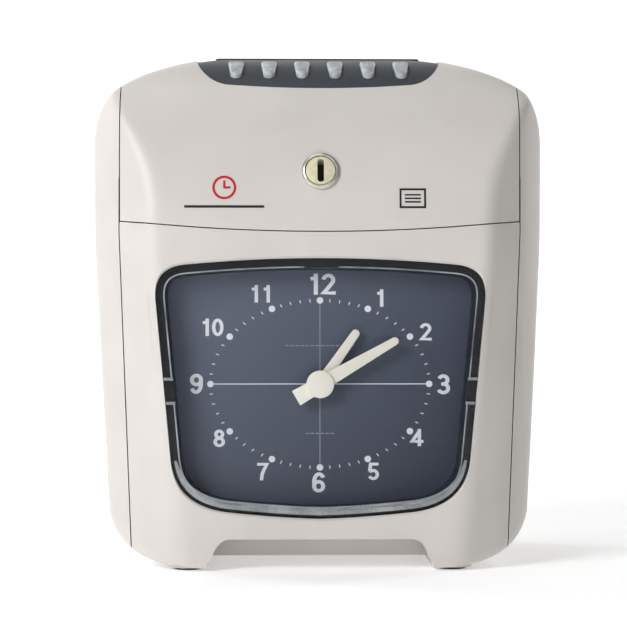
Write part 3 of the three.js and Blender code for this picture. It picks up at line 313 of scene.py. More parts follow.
def width_at(widths, z):
    floor, seam, top = widths
    low = floor + (seam - floor) * z / SEAM_Z
    high = seam + (top - seam) * (z - SEAM_Z) / (HEIGHT - SEAM_Z)
    return np.where(z < SEAM_Z, low, high)


def outline_distance(u, v, outline, skip_level=False):
    """How far points lie outside a convex counter-clockwise outline."""
    farthest = np.full(u.shape, -1e9)
    for (ax, ay), (bx, by) in zip(outline, outline[1:] + outline[:1]):
        length = math.hypot(bx - ax, by - ay)
        if length < 1e-6 or (skip_level and abs(by - ay) < 1e-6):
            continue
        farthest = np.maximum(farthest, ((u - ax) * (by - ay) - (v - ay) * (bx - ax)) / length)
    return farthest


def soft_max(a, b, softness):
    overlap = np.maximum(softness - np.abs(a - b), 0)
    return np.maximum(a, b) + overlap ** 2 / (4 * softness)


def corner_distance(x, y, z):
    """How far points lie outside the plan's bevelled corners, swelling sides and rear chamfers."""
    side = np.abs(x)
    face, corner = width_at(FACE_HALF, z), width_at(BEVEL_HALF, z)
    run = corner - face
    bevel = ((side - face) * BEVEL_DEPTH - (y - FRONT) * run) / np.hypot(run, BEVEL_DEPTH)
    widest = WIDTH / 2 + SIDE_ROOM
    chamfer_y = BACK - REAR_CHAMFER_DEPTH
    swell = bezier((0, FRONT + BEVEL_DEPTH), SWELL_BEND, SWELL_END, steps=8)
    swell += [SWELL_END, (1, chamfer_y)]
    cheek = np.full(x.shape, -1e9)
    for (share_a, ya), (share_b, yb) in zip(swell, swell[1:]):
        xa, xb = corner + (widest - corner) * share_a, corner + (widest - corner) * share_b
        slope = ((side - xa) * (yb - ya) - (y - ya) * (xb - xa)) / np.hypot(yb - ya, xb - xa)
        cheek = np.maximum(cheek, slope)
    rear = (side - WIDTH / 2 - 0.5) * REAR_CHAMFER_DEPTH + (y - chamfer_y) * REAR_CHAMFER_WIDTH
    rear = rear / math.hypot(REAR_CHAMFER_DEPTH, REAR_CHAMFER_WIDTH)
    return soft_max(np.maximum(cheek, rear), bevel, EDGE_SOFTNESS)


def case_distance(points):
    """Roughly how far points lie outside the case; zero on its skin."""
    x, y, z = points.T
    across = outline_distance(x, z, front_outline(), skip_level=True)
    along = outline_distance(y, z, side_outline())
    return soft_max(soft_max(corner_distance(x, y, z), along, EDGE_SOFTNESS), across, EDGE_SOFTNESS)


def lattice(step):
    """A box of evenly spaced vertices and quads, the size of the case."""
    size = np.array([WIDTH, BACK - FRONT, HEIGHT - FOOT_LIFT])
    counts = [max(2, int(round(s / step))) for s in size]
    index, vertices, faces = {}, [], []

    def vertex(cell):
        if cell not in index:
            index[cell] = len(vertices)
            vertices.append([c / n - 0.5 for c, n in zip(cell, counts)])
        return index[cell]

    for axis in range(3):
        u, v = [a for a in range(3) if a != axis]
        for end in (0, counts[axis]):
            for i in range(counts[u]):
                for j in range(counts[v]):
                    ring = []
                    for du, dv in ((0, 0), (1, 0), (1, 1), (0, 1)):
                        cell = [0, 0, 0]
                        cell[axis], cell[u], cell[v] = end, i + du, j + dv
                        ring.append(vertex(tuple(cell)))
                    faces.append(ring)
    centre = np.array([0, (FRONT + BACK) / 2, (HEIGHT + FOOT_LIFT) / 2])
    return np.array(vertices) * size, faces, centre


def case_solid(name, wall, step):
    """The case's outer skin moved inwards by a wall, as one closed surface."""
    offsets, faces, centre = lattice(step)
    reach = np.linalg.norm(offsets, axis=1)
    direction = offsets / reach[:, None]
    distance = reach * 1.05
    for _ in range(40):
        gap = case_distance(centre + direction * distance[:, None]) + wall
        distance -= gap
    return outward(mesh_object(name, centre + direction * distance[:, None], faces))


def rod(name, radius, start, end, sides=48):
    """A round bar between two points."""
    start, end = Vector(start), Vector(end)
    axis = (end - start).normalized()
    aside = axis.orthogonal().normalized()
    third = axis.cross(aside)
    vertices = []
    for centre in (start, end):
        for i in range(sides):
            angle = 2 * math.pi * i / sides
            spoke = aside * math.cos(angle) + third * math.sin(angle)
            vertices.append(tuple(centre + spoke * radius))
    faces = [(i, (i + 1) % sides, sides + (i + 1) % sides, sides + i) for i in range(sides)]
    faces += [tuple(reversed(range(sides))), tuple(range(sides, 2 * sides))]
    return outward(mesh_object(name, vertices, faces))


def loft(name, rings):
    """A closed solid through outlines that have equally many points."""
    count = len(rings[0])
    vertices = [p for ring in rings for p in ring]
    faces = [tuple(reversed(range(count))), tuple(range(len(vertices) - count, len(vertices)))]
    for level in range(len(rings) - 1):
        for i in range(count):
            j = (i + 1) % count
            low, high = level * count, (level + 1) * count
            faces.append((low + i, low + j, high + j, high + i))
    return outward(mesh_object(name, vertices, faces))


def unite(obj, *others):
    for other in others:
        boolean(obj, other, "UNION")
    return obj


def surface_frame(y):
    """A tilted frame on the lid's curved top: origin, across, uphill and outward."""
    z = SEAM_Z + (HEIGHT - SEAM_Z) * math.sqrt(1 - (y / FRONT) ** 2)
    out = Vector((0, y / FRONT ** 2, (z - SEAM_Z) / (HEIGHT - SEAM_Z) ** 2)).normalized()
    across = Vector((1, 0, 0))
    return Vector((0, y, z)), across, out.cross(across), out


def placing(surface):
    origin, across, uphill, out = surface
    return lambda u, v, w: tuple(origin + across * u + uphill * v + out * w)


LOCK_Z = 180.3
LOCK_Y = FRONT * math.sqrt(1 - ((LOCK_Z - SEAM_Z) / (HEIGHT - SEAM_Z)) ** 2)
on_lock = placing(surface_frame(LOCK_Y))
KEYPAD_Y = -27.5
on_keypad = placing(surface_frame(KEYPAD_Y))

# ---- Case, front and lid ----

EAR_X, EAR_HALF, KNUCKLE_GAP = 46, 2, 0.5
PIN_HOLE = 2.25
PAD_X = 60
PAD_Y = {"front": -53, "rear": 50}
PAD_RADIUS, PAD_POCKET = 7, 1.4
SCREW_X, SCREW_Y = 62, -27
SCREW_HEAD_HOLE, SCREW_SHANK_HOLE, SCREW_THREAD_HOLE = 4, 2.1, 1.9
INLET_RIM = 3
CURL_BOTTOM = HINGE_Z - HINGE_RADIUS
FRONT_PART_BACK = FRONT + ARCH_DEPTH - 1


def arch_outline(grow):
    foot, top = ARCH_FOOT_HALF + grow, ARCH_HEIGHT + grow
    return mirrored([
        (foot, -1),
        (foot, FOOT_LIFT + 1),
        *bezier((foot, FOOT_LIFT + 1), (foot - 2, ARCH_HEIGHT * 0.45), (ARCH_HALF + 6 + grow, top),
                (ARCH_HALF, top), steps=14)[1:],
        (ARCH_HALF, top),
    ])


def underside_space(wall):
    """The room under the case: the arch between the feet, and the raised belly."""
    foot = ARCH_FOOT_HALF + wall
    arch = prism("arch", arch_outline(wall), FRONT - 1, FRONT + ARCH_DEPTH + wall, ACROSS_Y)
    belly = block("belly", -foot, foot, FRONT - 1, BACK + 1, -1, BELLY_Z + wall)
    return unite(arch, belly)


def lid_zone(gap):
    half = LID_HALF + gap
    low = SEAM_SIDE_Z - gap
    seam = bezier((-half, low), (0, 2 * SEAM_Z - SEAM_SIDE_Z - gap), (half, low), steps=24)
    return seam + [(half, low), (half, HEIGHT + 5), (-half, HEIGHT + 5)]


def front_zone(gap, top):
    low, high = BEVEL_HALF[0] + gap, BEVEL_HALF[1] + gap
    outline = [(-low, -1), (low, -1), (high, SEAM_Z), (high, top), (-high, top), (-high, SEAM_Z)]
    return prism("front_zone", outline, FRONT - 1, FRONT_PART_BACK + gap, ACROSS_Y)


def copy_of(obj, name):
    made = obj.copy()
    made.data = obj.data.copy()
    made.name = name
    bpy.context.scene.collection.objects.link(made)
    return made


def window_outline(steps=14):
    top, bottom = WINDOW["top"], WINDOW["bottom"]
    half_top, half_bottom, crown = WINDOW["half_top"], WINDOW["half_bottom"], WINDOW["crown"]
    shoulder = top - crown
    return mirrored([
        (0, bottom),
        *bezier((0, bottom), (18, bottom + 0.4), (half_bottom - 24, bottom + 3), steps=5)[1:],
        *bezier((half_bottom - 24, bottom + 3), (half_bottom - 1, bottom + 6),
                (half_bottom + 1.5, bottom + 26), steps=steps),
        *bezier((half_bottom + 1.5, bottom + 26), (half_top - 1.2, shoulder - 16), steps=6),
        *bezier((half_top - 1.2, shoulder - 16), (half_top, shoulder - 1.5),
                (half_top - 14, shoulder), steps=steps),
        *bezier((half_top - 14, shoulder), (half_top * 0.4, top), (0, top), steps=8),
        (0, top),
    ])


def ring_of(inwards, y):
    """The window's outline moved inwards, at one depth."""
    return [(x, y, z) for x, z in inset(window_outline(), inwards)]


def boat_outline(grow):
    """The button panel's outline, as seen from above."""
    half = panel_high.x + SEAM_GAP - 0.1
    front, back = panel_low.y - SEAM_GAP + 0.1, panel_high.y + SEAM_GAP - 0.1
    shoulder, bulge, cheek = (43, front + 1.8), (22, front), (half, front + 4.5)
    right = [
        *bezier((0, front), bulge, shoulder, steps=8),
        *bezier(shoulder, cheek, (half, -10), steps=12),
        *bezier((half, -10), (half, back), (half - 10, back), steps=10),
        (half - 10, back),
    ]
    return inset(mirrored(right), -grow)


def at_pads(name, end, radius, low, high):
    """One upright rod at each of the two rubber feet at the front or rear end."""
    y = PAD_Y[end]
    return [rod(name, radius, (x, y, low), (x, y, high)) for x in (-PAD_X, PAD_X)]


def pad_pockets(end):
    return at_pads("pocket", end, PAD_RADIUS + 0.3, -1, FOOT_LIFT + PAD_POCKET)


def pad_bosses(end):
    return at_pads("boss", end, PAD_RADIUS + 2, FOOT_LIFT + 0.1, FOOT_LIFT + PAD_POCKET + WALL)


def hinge_ears():
    wall_y = BACK - 0.6 * WALL
    outline = [
        (wall_y, CURL_BOTTOM - 18),
        (wall_y, CURL_BOTTOM - 4),
        (HINGE_Y + 2, CURL_BOTTOM - 1),
        *arc(HINGE_Y, HINGE_Z, 5, 5, -50, 210, 24),
        (HINGE_Y - 5, CURL_BOTTOM - 6),
    ]
    return [prism("ear", outline, x - EAR_HALF, x + EAR_HALF, ACROSS_X) for x in (-EAR_X, EAR_X)]


def hinge_bore():
    return rod("bore", PIN_HOLE, (-EAR_X - 10, HINGE_Y, HINGE_Z), (EAR_X + 10, HINGE_Y, HINGE_Z))


def vent_slots():
    slots = []
    for x in range(-36, 37, 9):
        outline = [(u + x, v + 114) for u, v in rounded_rectangle(0, 0, 1.5, 18, 1.49)]
        slots.append(prism("vent", outline, BACK - 6, BACK + 1, ACROSS_Y))
    return slots


def case_screw_holes():
    holes = []
    for x in (-SCREW_X, SCREW_X):
        holes.append(rod("head_hole", SCREW_HEAD_HOLE, (x, SCREW_Y, -1), (x, SCREW_Y, 4)))
        holes.append(rod("shank_hole", SCREW_SHANK_HOLE, (x, SCREW_Y, 0), (x, SCREW_Y, 12)))
    return holes


def rear_case(skin, core, plastic):
    case = copy_of(skin, "rear_case_shell")
    subtract(case, copy_of(core, "case_core"))
    half = LID_HALF + SEAM_GAP / 2
    lid = prism("lid_space", lid_zone(SEAM_GAP / 2), FRONT - 1, HINGE_Y, ACROSS_Y)
    rear = block("hinge_space", -half, half, HINGE_Y - 1, BACK + 1, CURL_BOTTOM - 1.4, HEIGHT + 5)
    subtract(case, lid, rear, front_zone(SEAM_GAP / 2, SEAM_SIDE_Z + 20))
    bosses = [rod("screw_boss", 6, (x, SCREW_Y, FOOT_LIFT + 0.1), (x, SCREW_Y, 7.2))
              for x in (-SCREW_X, SCREW_X)]
    unite(case, *hinge_ears(), *pad_bosses("rear"), *bosses)
    low, high = box_mm("power_inlet")
    socket = block("socket", low.x + INLET_RIM, high.x - INLET_RIM, BACK - 6, BACK + 1,
                   low.z + INLET_RIM, high.z - INLET_RIM)
    subtract(case, socket, hinge_bore(), *vent_slots(), *pad_pockets("rear"), *case_screw_holes())
    return finished(smooth(case), plastic, "case", "casing", "rear_case")


def lock_strike():
    wall_y, low = FRONT + WALL - 0.5, WINDOW["top"] + 5.5
    tongue = block("tongue", -14, 14, -55, -52.5, low, front_high.z)
    shelf = block("shelf", -14, 14, wall_y, -53, low, low + 2.5)
    ribs = [block("rib", x - 1, x + 1, wall_y, -53, low + 0.5, SEAM_Z - 1.5) for x in (-11, 11)]
    return unite(tongue, shelf, *ribs)


def front_lugs():
    lugs = []
    for x in (-SCREW_X, SCREW_X):
        plate = block("lug", x - 7, x + 7, FRONT_PART_BACK - 4, SCREW_Y + 6, 7.6, 12)
        web = block("web", x - 7, x + 7, FRONT_PART_BACK - 4, FRONT_PART_BACK - 1,
                    FOOT_LIFT + WALL - 0.5, 12)
        hole = rod("hole", SCREW_THREAD_HOLE, (x, SCREW_Y, 0), (x, SCREW_Y, 20))
        lugs.append(subtract(unite(plate, web), hole))
    return lugs


def opening_cutter():
    """The window opening, with a small bevel at its front edge."""
    levels = ((-1, FRONT - 1), (-0.9, FRONT - 0.05), (0, FRONT + 0.9), (0, FRONT + 8))
    return loft("opening", [ring_of(grow, y) for grow, y in levels])


def front_cover(skin, core, plastic):
    cover = copy_of(skin, "front_cover_shell")
    subtract(cover, copy_of(core, "front_core"))
    intersect(cover, front_zone(-SEAM_GAP / 2, HEIGHT))
    subtract(cover, prism("above", lid_zone(SEAM_GAP / 2), FRONT - 1, BACK, ACROSS_Y))
    subtract(cover, opening_cutter())
    unite(cover, lock_strike(), *pad_bosses("front"), *front_lugs())
    subtract(cover, *pad_pockets("front"))
    return finished(smooth(cover), plastic, "case", "casing", "front_cover")


def lid_curl(skin):
    """The rounded rear edge below the hinge axis."""
    inner = HINGE_RADIUS - WALL
    band = arc(HINGE_Y, HINGE_Z, HINGE_RADIUS + 2, HINGE_RADIUS + 2, -60, 2, 20)
    band += arc(HINGE_Y, HINGE_Z, inner, inner, 2, -60, 20)
    curl = prism("curl", band, 0.2 - LID_HALF, LID_HALF - 0.2, ACROSS_X)
    return intersect(curl, copy_of(skin, "curl_skin"))


def lid_knuckles():
    knuckles = []
    near = EAR_HALF + KNUCKLE_GAP
    for x in (-EAR_X, EAR_X):
        for start, end in ((near, near + 4), (-near - 4, -near)):
            ends = [(x + at, HINGE_Y, HINGE_Z) for at in (start, end)]
            knuckles.append(rod("knuckle", HINGE_RADIUS - WALL / 2, *ends))
    return knuckles


def ear_slots():
    reach = EAR_HALF + KNUCKLE_GAP
    return [block("ear_slot", x - reach, x + reach, HINGE_Y - 1, BACK + 1, CURL_BOTTOM - 2, HINGE_Z + 5)
            for x in (-EAR_X, EAR_X)]


def top_cover(skin, core, plastic):
    lid = copy_of(skin, "lid_shell")
    subtract(lid, copy_of(core, "lid_core"))
    half = LID_HALF - SEAM_GAP / 2
    zone = prism("lid_zone", lid_zone(-SEAM_GAP / 2), FRONT - 1, HINGE_Y, ACROSS_Y)
    unite(zone, block("rear_zone", -half, half, HINGE_Y - 1, BACK + 1, HINGE_Z, HEIGHT + 5))
    intersect(lid, zone)
    unite(lid, lid_curl(skin), *lid_knuckles())
    boat = prism("boat", boat_outline(0), SEAM_Z + 20, HEIGHT + 5, ACROSS_Z)
    bore = turned("bore", [(0, -8), (7.8, -8), (7.8, 6), (0, 6)], on_lock)
    subtract(lid, boat, bore, hinge_bore(), *ear_slots())
    return finished(smooth(lid), plastic, "lid", "casing", "top_cover")


# ---- Window, bezel and dial ----


CLIP_X, CLIP_HALF = 72, 9
CLIP_DROP, CLIP_RISE = 7.5, 2
PANE_LEVELS, PANE_HALVES = (49, 122), (67.6, 74.5)  # the pane's half width at two heights
SILL_FULL, SILL_TOP = 26, 56  # where the sill starts to thin out, and where it ends


def window_pane(clear):
    pane = loft("window_pane", [ring_of(1.2, FRONT + 0.5), ring_of(0.3, FRONT + 1.1),
                                ring_of(0.3, FRONT + 3.4)])
    subtract(pane, loft("hollow", [ring_of(5, FRONT + 2.4), ring_of(5, FRONT + 4)]))
    inside = FRONT + WALL
    flange = loft("window_flange", [ring_of(-3.5, inside + 0.3), ring_of(-3.5, inside + 1.7)])
    subtract(flange, loft("flange_hole", [ring_of(2, FRONT), ring_of(2, FRONT + 6)]))
    unite(pane, flange)
    return finished(smooth(pane, 25), clear, "case", "clear_window", "dial_window")


def window_edge(material):
    """The moulded ridge that runs round the pane, with a gap at each clip and at the top catch."""
    ridge = loft("window_ridge", [ring_of(3.9, FRONT + 0.35), ring_of(3.6, FRONT + 1)])
    subtract(ridge, loft("ridge_hole", [ring_of(4.3, FRONT - 1), ring_of(4.3, FRONT + 3)]))
    clips = [block("clip_gap", x - CLIP_HALF, x + CLIP_HALF, FRONT - 2, FRONT + 4,
                   DIAL_Z - CLIP_DROP, DIAL_Z + CLIP_RISE)
             for x in (-CLIP_X, CLIP_X)]
    catch = block("catch_gap", -7.5, 8, FRONT - 2, FRONT + 4, 130, 145)
    subtract(ridge, *clips, catch)
    return finished(smooth(ridge, 40), material, "case", "clear_window")


def clip_ends(material):
    """Small catches above and below each clip notch, pale with the ridge's painted highlight."""
    front, back = FRONT + 0.5, FRONT + 2
    for side, name in ((-1, "left"), (1, "right")):
        for dz, level in ((-8.2, "low"), (2.7, "high")):
            z = DIAL_Z + dz
            x = side * (np.interp(z, PANE_LEVELS, PANE_HALVES) - 2.6)
            end = block(f"clip_{name}_{level}", x - 2.2, x + 2.2, front, back, z - 0.7, z + 0.7)
            finished(soften(end, 0.3), material, "case", "clear_window")


def window_sill_painted_light(material):
    """A crescent that closes the window along its foot and thins out up both corners; its silvery
    colour is painted light on the upward-facing lower reveal, lit from above.
    """
    outline = [Vector(p) for p in window_outline(28)]
    inner = [Vector(p) for p in inset(window_outline(28), 1)]
    rows = []
    for outer, towards in zip(outline, inner):
        if outer.y > SILL_TOP:
            continue
        reach = 1 - min(1, max(0, (outer.y - SILL_FULL) / (SILL_TOP - SILL_FULL))) ** 1.4
        way = (towards - outer).normalized()
        rows.append((outer + way * 1.6, outer + way * (1.7 + 3.6 * reach)))
    left = [row for row in rows if row[0].x < -0.01]
    right = [row for row in rows if row[0].x >= -0.01]
    rows = left + right
    outline = [tuple(row[0]) for row in rows] + [tuple(row[1]) for row in reversed(rows)]
    sill = prism("window_sill_painted_light", outline, FRONT + 1.2, FRONT + 2.2, ACROSS_Y)
    return finished(smooth(sill), material, "case", "clear_window")


def dial_bezel(dark):
    # the bezel's near-black material is painted shade along the window's edge
    inside, back = FRONT + WALL, DIAL_FRONT - 0.3
    bezel = loft("bezel_ring", [ring_of(-1.8, inside + 2.3), ring_of(-1.8, back)])
    opening = loft("bezel_hole", [ring_of(4.2, inside + 1.8), ring_of(4.5, inside + 3.4),
                                  ring_of(5.2, back + 1)])
    subtract(bezel, opening)
    return finished(smooth(bezel), dark, "case", "dark_plastic", "dial_bezel")


def dial_plate(blue):
    plate = loft("dial_face", [ring_of(1, DIAL_FRONT), ring_of(1, DIAL_FRONT + 1.6)])
    subtract(plate, rod("hole", 3.6, (0, DIAL_FRONT - 1, DIAL_Z), (0, DIAL_FRONT + 5, DIAL_Z)))
    return finished(smooth(plate), blue, "case", "dial_blue", "dial_plate")


PRINT_Y = DIAL_FRONT - 0.08
MARK_X, MARK_Z = 50, 38.2  # half width and half height of the ellipse the dots lie on
DOT_ANGLES = (0, 26, 55.5, 90, 124.5, 154, 180, 206, 235.5, 270, 304.5, 334)
DASH_ROWS = ((14, 17.5), (6, -22.6))  # how many dashes, and how far above the dial's centre
DASH_PITCH = 2.3


def slab_faces(start, count):
    """Faces of one flat shape: its front outline begins at start, and its back outline follows."""
    back = start + count
    steps = [(i, (i + 1) % count) for i in range(count)]
    sides = [(start + i, start + j, back + j, back + i) for i, j in steps]
    return [tuple(range(start, back)), tuple(reversed(range(back, back + count))), *sides]


def printed(name, outlines, levels, ink):
    """Many small shapes on the dial as one piece, each with its own front level."""
    vertices, faces = [], []
    for outline, level in zip(outlines, levels):
        faces += slab_faces(len(vertices), len(outline))
        vertices += [(x, y, z) for y in (level, DIAL_FRONT) for x, z in outline]
    return finished(outward(mesh_object(name, vertices, faces)), ink, "case", "light_plastic")


def level_print(name, outlines, lift, ink):
    return printed(name, outlines, [PRINT_Y + lift] * len(outlines), ink)


def around_dial(degrees, grow=0.0):
    angle = math.radians(degrees)
    return (MARK_X + grow) * math.sin(angle), DIAL_Z + (MARK_Z + grow) * math.cos(angle)


def dial_dots():
    return [arc(*around_dial(a), 1.5, 1.5, 0, 345, 23) for a in DOT_ANGLES]


def dial_ticks():
    """Four short strokes between each pair of dots, each along its own line from the middle."""
    ticks = []
    for start, end in zip(DOT_ANGLES, DOT_ANGLES[1:] + (360,)):
        for i in range(1, 5):
            x, z = around_dial(start + (end - start) * i / 5)
            along = Vector((x, z - DIAL_Z)).normalized()
            aside = Vector((along.y, -along.x)) * 0.2
            middle = Vector((x, z))
            near, far = middle - along * 0.75, middle + along * 0.75
            corners = (near - aside, near + aside, far + aside, far - aside)
            ticks.append([tuple(corner) for corner in corners])
    return ticks


def cross_lines():
    thin = 0.22
    across = bar(-MARK_X, MARK_X, DIAL_Z - thin, DIAL_Z + thin)
    up = bar(-thin, thin, DIAL_Z - MARK_Z, DIAL_Z + MARK_Z)
    return across, up


# Where each numeral's middle lies, from the dial centre, and how tall it is.
NUMERALS = {
    "12": (0.6, 45.6, 9.6), "1": (27.6, 39.3, 8), "2": (48.4, 23.8, 8), "3": (56.6, -0.2, 9.2),
    "4": (44.4, -24.5, 8), "5": (24.4, -40, 8), "6": (-0.6, -45, 9.2), "7": (-26.1, -40, 8),
    "8": (-46, -24.8, 8), "9": (-56.4, 0.1, 9.2), "10": (-49.4, 25.9, 8), "11": (-27, 41.2, 8),
}
PEN = 0.17  # stroke width of a digit, as a share of its height
DIGIT_SPREAD = 1.16  # how much wider each digit is drawn than its pen lines
DIGIT_STEP = 0.68  # from one digit's middle to the next, as a share of the height

# The centre lines of each digit, one unit high; a digit's middle is at x = 0.
DIGITS = {
    "0": [arc(0, 0.5, 0.2, 0.415, 90, 450, 28)],
    "1": [[(0.07, 0), (0.07, 1)], [(0.1, 0.88), (0.0, 0.79), (-0.15, 0.75)]],
    "2": [[*arc(0, 0.7, 0.2, 0.215, 175, -35, 14), (-0.1, 0.2), (-0.21, 0.085), (0.3, 0.085)]],
    "3": [[*arc(-0.01, 0.715, 0.18, 0.2, 160, -90, 14), (-0.1, 0.515)],
          [(-0.1, 0.515), *arc(-0.01, 0.3, 0.21, 0.215, 90, -160, 16)]],
    "4": [[(0.12, 0), (0.12, 0.98)], [(0.14, 0.9), (-0.22, 0.3), (-0.24, 0.27), (0.32, 0.27)]],
    "5": [[(0.26, 0.915), (-0.13, 0.915), (-0.18, 0.5)],
          [(-0.18, 0.5), *arc(0, 0.32, 0.2, 0.235, 130, -155, 16)]],
    "6": [arc(0, 0.31, 0.195, 0.225, 90, 450, 22),
          [*arc(0.02, 0.5, 0.215, 0.415, 35, 195, 16), (-0.19, 0.32)]],
    "7": [[(-0.28, 0.915), (0.2, 0.915), (0.06, 0.62), (-0.03, 0.36), (-0.07, 0)]],
    "8": [arc(0, 0.725, 0.165, 0.19, 90, 450, 20), arc(0, 0.295, 0.2, 0.21, 90, 450, 22)],
    "9": [arc(0, 0.69, 0.195, 0.225, 90, 450, 22),
          [*arc(-0.02, 0.5, 0.215, 0.415, 215, 375, 16), (0.19, 0.68)]],
}


def stroke(line, width):
    """A pen line as a strip of four-sided pieces that meet along its bends."""
    points = [Vector(p) for p in line]
    closed = (points[0] - points[-1]).length < 1e-6
    last = len(points) - 1
    edges = []
    for i, middle in enumerate(points):
        before = points[i - 1] if i else (points[last - 1] if closed else None)
        after = points[i + 1] if i < last else (points[1] if closed else None)
        arriving = (after - middle if before is None else middle - before).normalized()
        leaving = (middle - before if after is None else after - middle).normalized()
        aside = Vector((-arriving.y - leaving.y, arriving.x + leaving.x)).normalized()
        reach = width / 2 / max(0.6, aside.dot(Vector((-leaving.y, leaving.x))))
        edges.append((tuple(middle - aside * reach), tuple(middle + aside * reach)))
    return [[a[0], b[0], b[1], a[1]] for a, b in zip(edges, edges[1:])]


def numeral(text, x, z, height, ink):
    """A number with each digit drawn from its pen lines."""
    outlines, levels = [], []
    for place, digit in enumerate(text):
        shift = (place - (len(text) - 1) / 2) * DIGIT_STEP
        for layer, line in enumerate(DIGITS[digit]):
            for piece in stroke(line, PEN):
                outlines.append([(x + (u * DIGIT_SPREAD + shift) * height,
                                  DIAL_Z + z + (v - 0.5) * height) for u, v in piece])
                levels.append(PRINT_Y - 0.01 * layer)
    return printed(f"numeral_{text}", outlines, levels, ink)


def dial_marks(ink, faint_ink):
    level_print("dial_dots", dial_dots(), 0, ink)
    level_print("dial_ticks", dial_ticks(), 0, ink)
    across, up = cross_lines()
    level_print("dial_line_across", [across], 0.02, ink)
    level_print("dial_line_up", [up], 0.02, faint_ink)
    for text, (x, z, height) in NUMERALS.items():
        numeral(text, x, z, height, ink)
    for count, z in DASH_ROWS:
        dashes = [rounded_rectangle((i - (count - 1) / 2) * DASH_PITCH, DIAL_Z + z, 0.75, 0.28, 0.2, 2)
                  for i in range(count)]
        level_print(f"dial_dashes_{count}", dashes, 0.01, faint_ink)


# ---- Hands ----


# Of each hand: length, tail, half width at the root and at the tip, half width of the tail.
HOUR_BLADE = (30, 4, 2.6, 1.9, 2.2)
MINUTE_BLADE = (41, 12.7, 3.4, 1.8, 3.8)
HAND_THICKNESS = 0.8
HOUR_DEGREES, MINUTE_DEGREES = 35, 60
HOUR_HUB, MINUTE_HUB = 5, 6.3


def hand(node, blade, y, degrees, hub_radius, hub_front, material, body):
    """A tapered hand with a blunt rounded tip, a short tail and a round hub."""
    length, tail, root, tip, tail_half = blade
    outline = [
        (-tail_half, -tail), (tail_half, -tail), (root, 0), (tip, length - tip),
        *arc(0, length - tip, tip, tip, 12, 168, 12), (-tip, length - tip), (-root, 0),
    ]
    turn = Matrix.Rotation(math.radians(-degrees), 2)
    turned_outline = [tuple(turn @ Vector(p) + Vector((0, DIAL_Z))) for p in outline]
    back = y + HAND_THICKNESS
    piece = soften(prism(f"{node}_shape", turned_outline, y, back, ACROSS_Y), 0.25)
    hub = soften(rod("hub", hub_radius, (0, hub_front, DIAL_Z), (0, back + 0.5, DIAL_Z), 64), 0.4)
    unite(piece, hub)
    return finished(smooth(piece), material, body, "hand_paint", node)


def hands(paint):
    minute_low, _ = box_mm("minute_hand")
    hour_low, _ = box_mm("hour_hand")
    hand("hour_hand", HOUR_BLADE, hour_low.y, HOUR_DEGREES, HOUR_HUB, hour_low.y - 0.3, paint, "hour")
    hand("minute_hand", MINUTE_BLADE, minute_low.y + 1.2, MINUTE_DEGREES, MINUTE_HUB, minute_low.y,
         paint, "minute")


# ---- Button panel, buttons and lock ----

PANEL_RECESS, PANEL_THICKNESS = 0.8, 2.2
BUTTON_PITCH = 15.4
BUTTON_LONG, BUTTON_WIDE, BUTTON_NARROW, BUTTON_PROUD = 14, 7.4, 5.4, 2
BUTTON_CORNER = 1.4
BUTTON_COUNT = 6
SLOT_HALF, SLOT_FRONT, SLOT_BACK = 46, -4.6, 0.6
PANEL_LEG_X = 53


def button_x(i):
    return (i - (BUTTON_COUNT - 1) / 2) * BUTTON_PITCH


def button_outline(i, grow):
    """A key's outline on the panel: round at its lower end, wider and square at its upper end."""
    tip, corner = BUTTON_NARROW / 2, BUTTON_CORNER
    outline = [
        *arc(0, tip - BUTTON_LONG / 2, tip, tip, 190, 350, 14),
        *arc(BUTTON_WIDE / 2 - corner, BUTTON_LONG / 2 - corner, corner, corner, 0, 90, 6),
        *arc(corner - BUTTON_WIDE / 2, BUTTON_LONG / 2 - corner, corner, corner, 90, 180, 6),
    ]
    return [(x + button_x(i), y) for x, y in inset(outline, -grow)]


def card_slot(name, grow, z0, z1):
    outline = rounded_rectangle(0, (SLOT_FRONT + SLOT_BACK) / 2, SLOT_HALF + grow,
                                (SLOT_BACK - SLOT_FRONT) / 2 + grow, 0.8 + grow / 2)
    return prism(name, outline, z0, z1, ACROSS_Z)


def button_panel(dark):
    panel = case_solid("panel_fascia", PANEL_RECESS, 2.2)
    under = case_solid("panel_under", PANEL_RECESS + PANEL_THICKNESS, 4)
    subtract(panel, under)
    intersect(panel, prism("boat", boat_outline(-SEAM_GAP + 0.1), SEAM_Z + 20, HEIGHT + 5, ACROSS_Z))
    top = HEIGHT - PANEL_RECESS
    lip = card_slot("lip", 2.4, top - PANEL_THICKNESS, top + 0.15)
    legs = [block("leg", x - 3, x + 3, -15, -10, 210.3, 231) for x in (-PANEL_LEG_X, PANEL_LEG_X)]
    unite(panel, soften(lip, 0.5), *legs)
    holes = [prism("button_hole", button_outline(i, 0.35), -6, 4, on_keypad)
             for i in range(BUTTON_COUNT)]
    subtract(panel, card_slot("slot", 0, HEIGHT - 20, HEIGHT + 5), *holes)
    return finished(smooth(panel), dark, "case", "dark_plastic", "button_panel")


def buttons(grey):
    top = BUTTON_PROUD - PANEL_RECESS
    levels = ((0, -4.7), (0, top - 0.9), (0.35, top - 0.3), (0.95, top))
    for i in range(BUTTON_COUNT):
        outline = button_outline(i, 0)
        rings = [[on_keypad(u, v, w) for u, v in inset(outline, inwards)] for inwards, w in levels]
        key = loft(f"key_{i + 1}", rings)
        unite(key, prism("button_flange", button_outline(i, 1), -5.5, -4.2, on_keypad))
        finished(smooth(key, 50), grey, f"button_{i + 1}_key", "button_grey", f"button_{i + 1}")


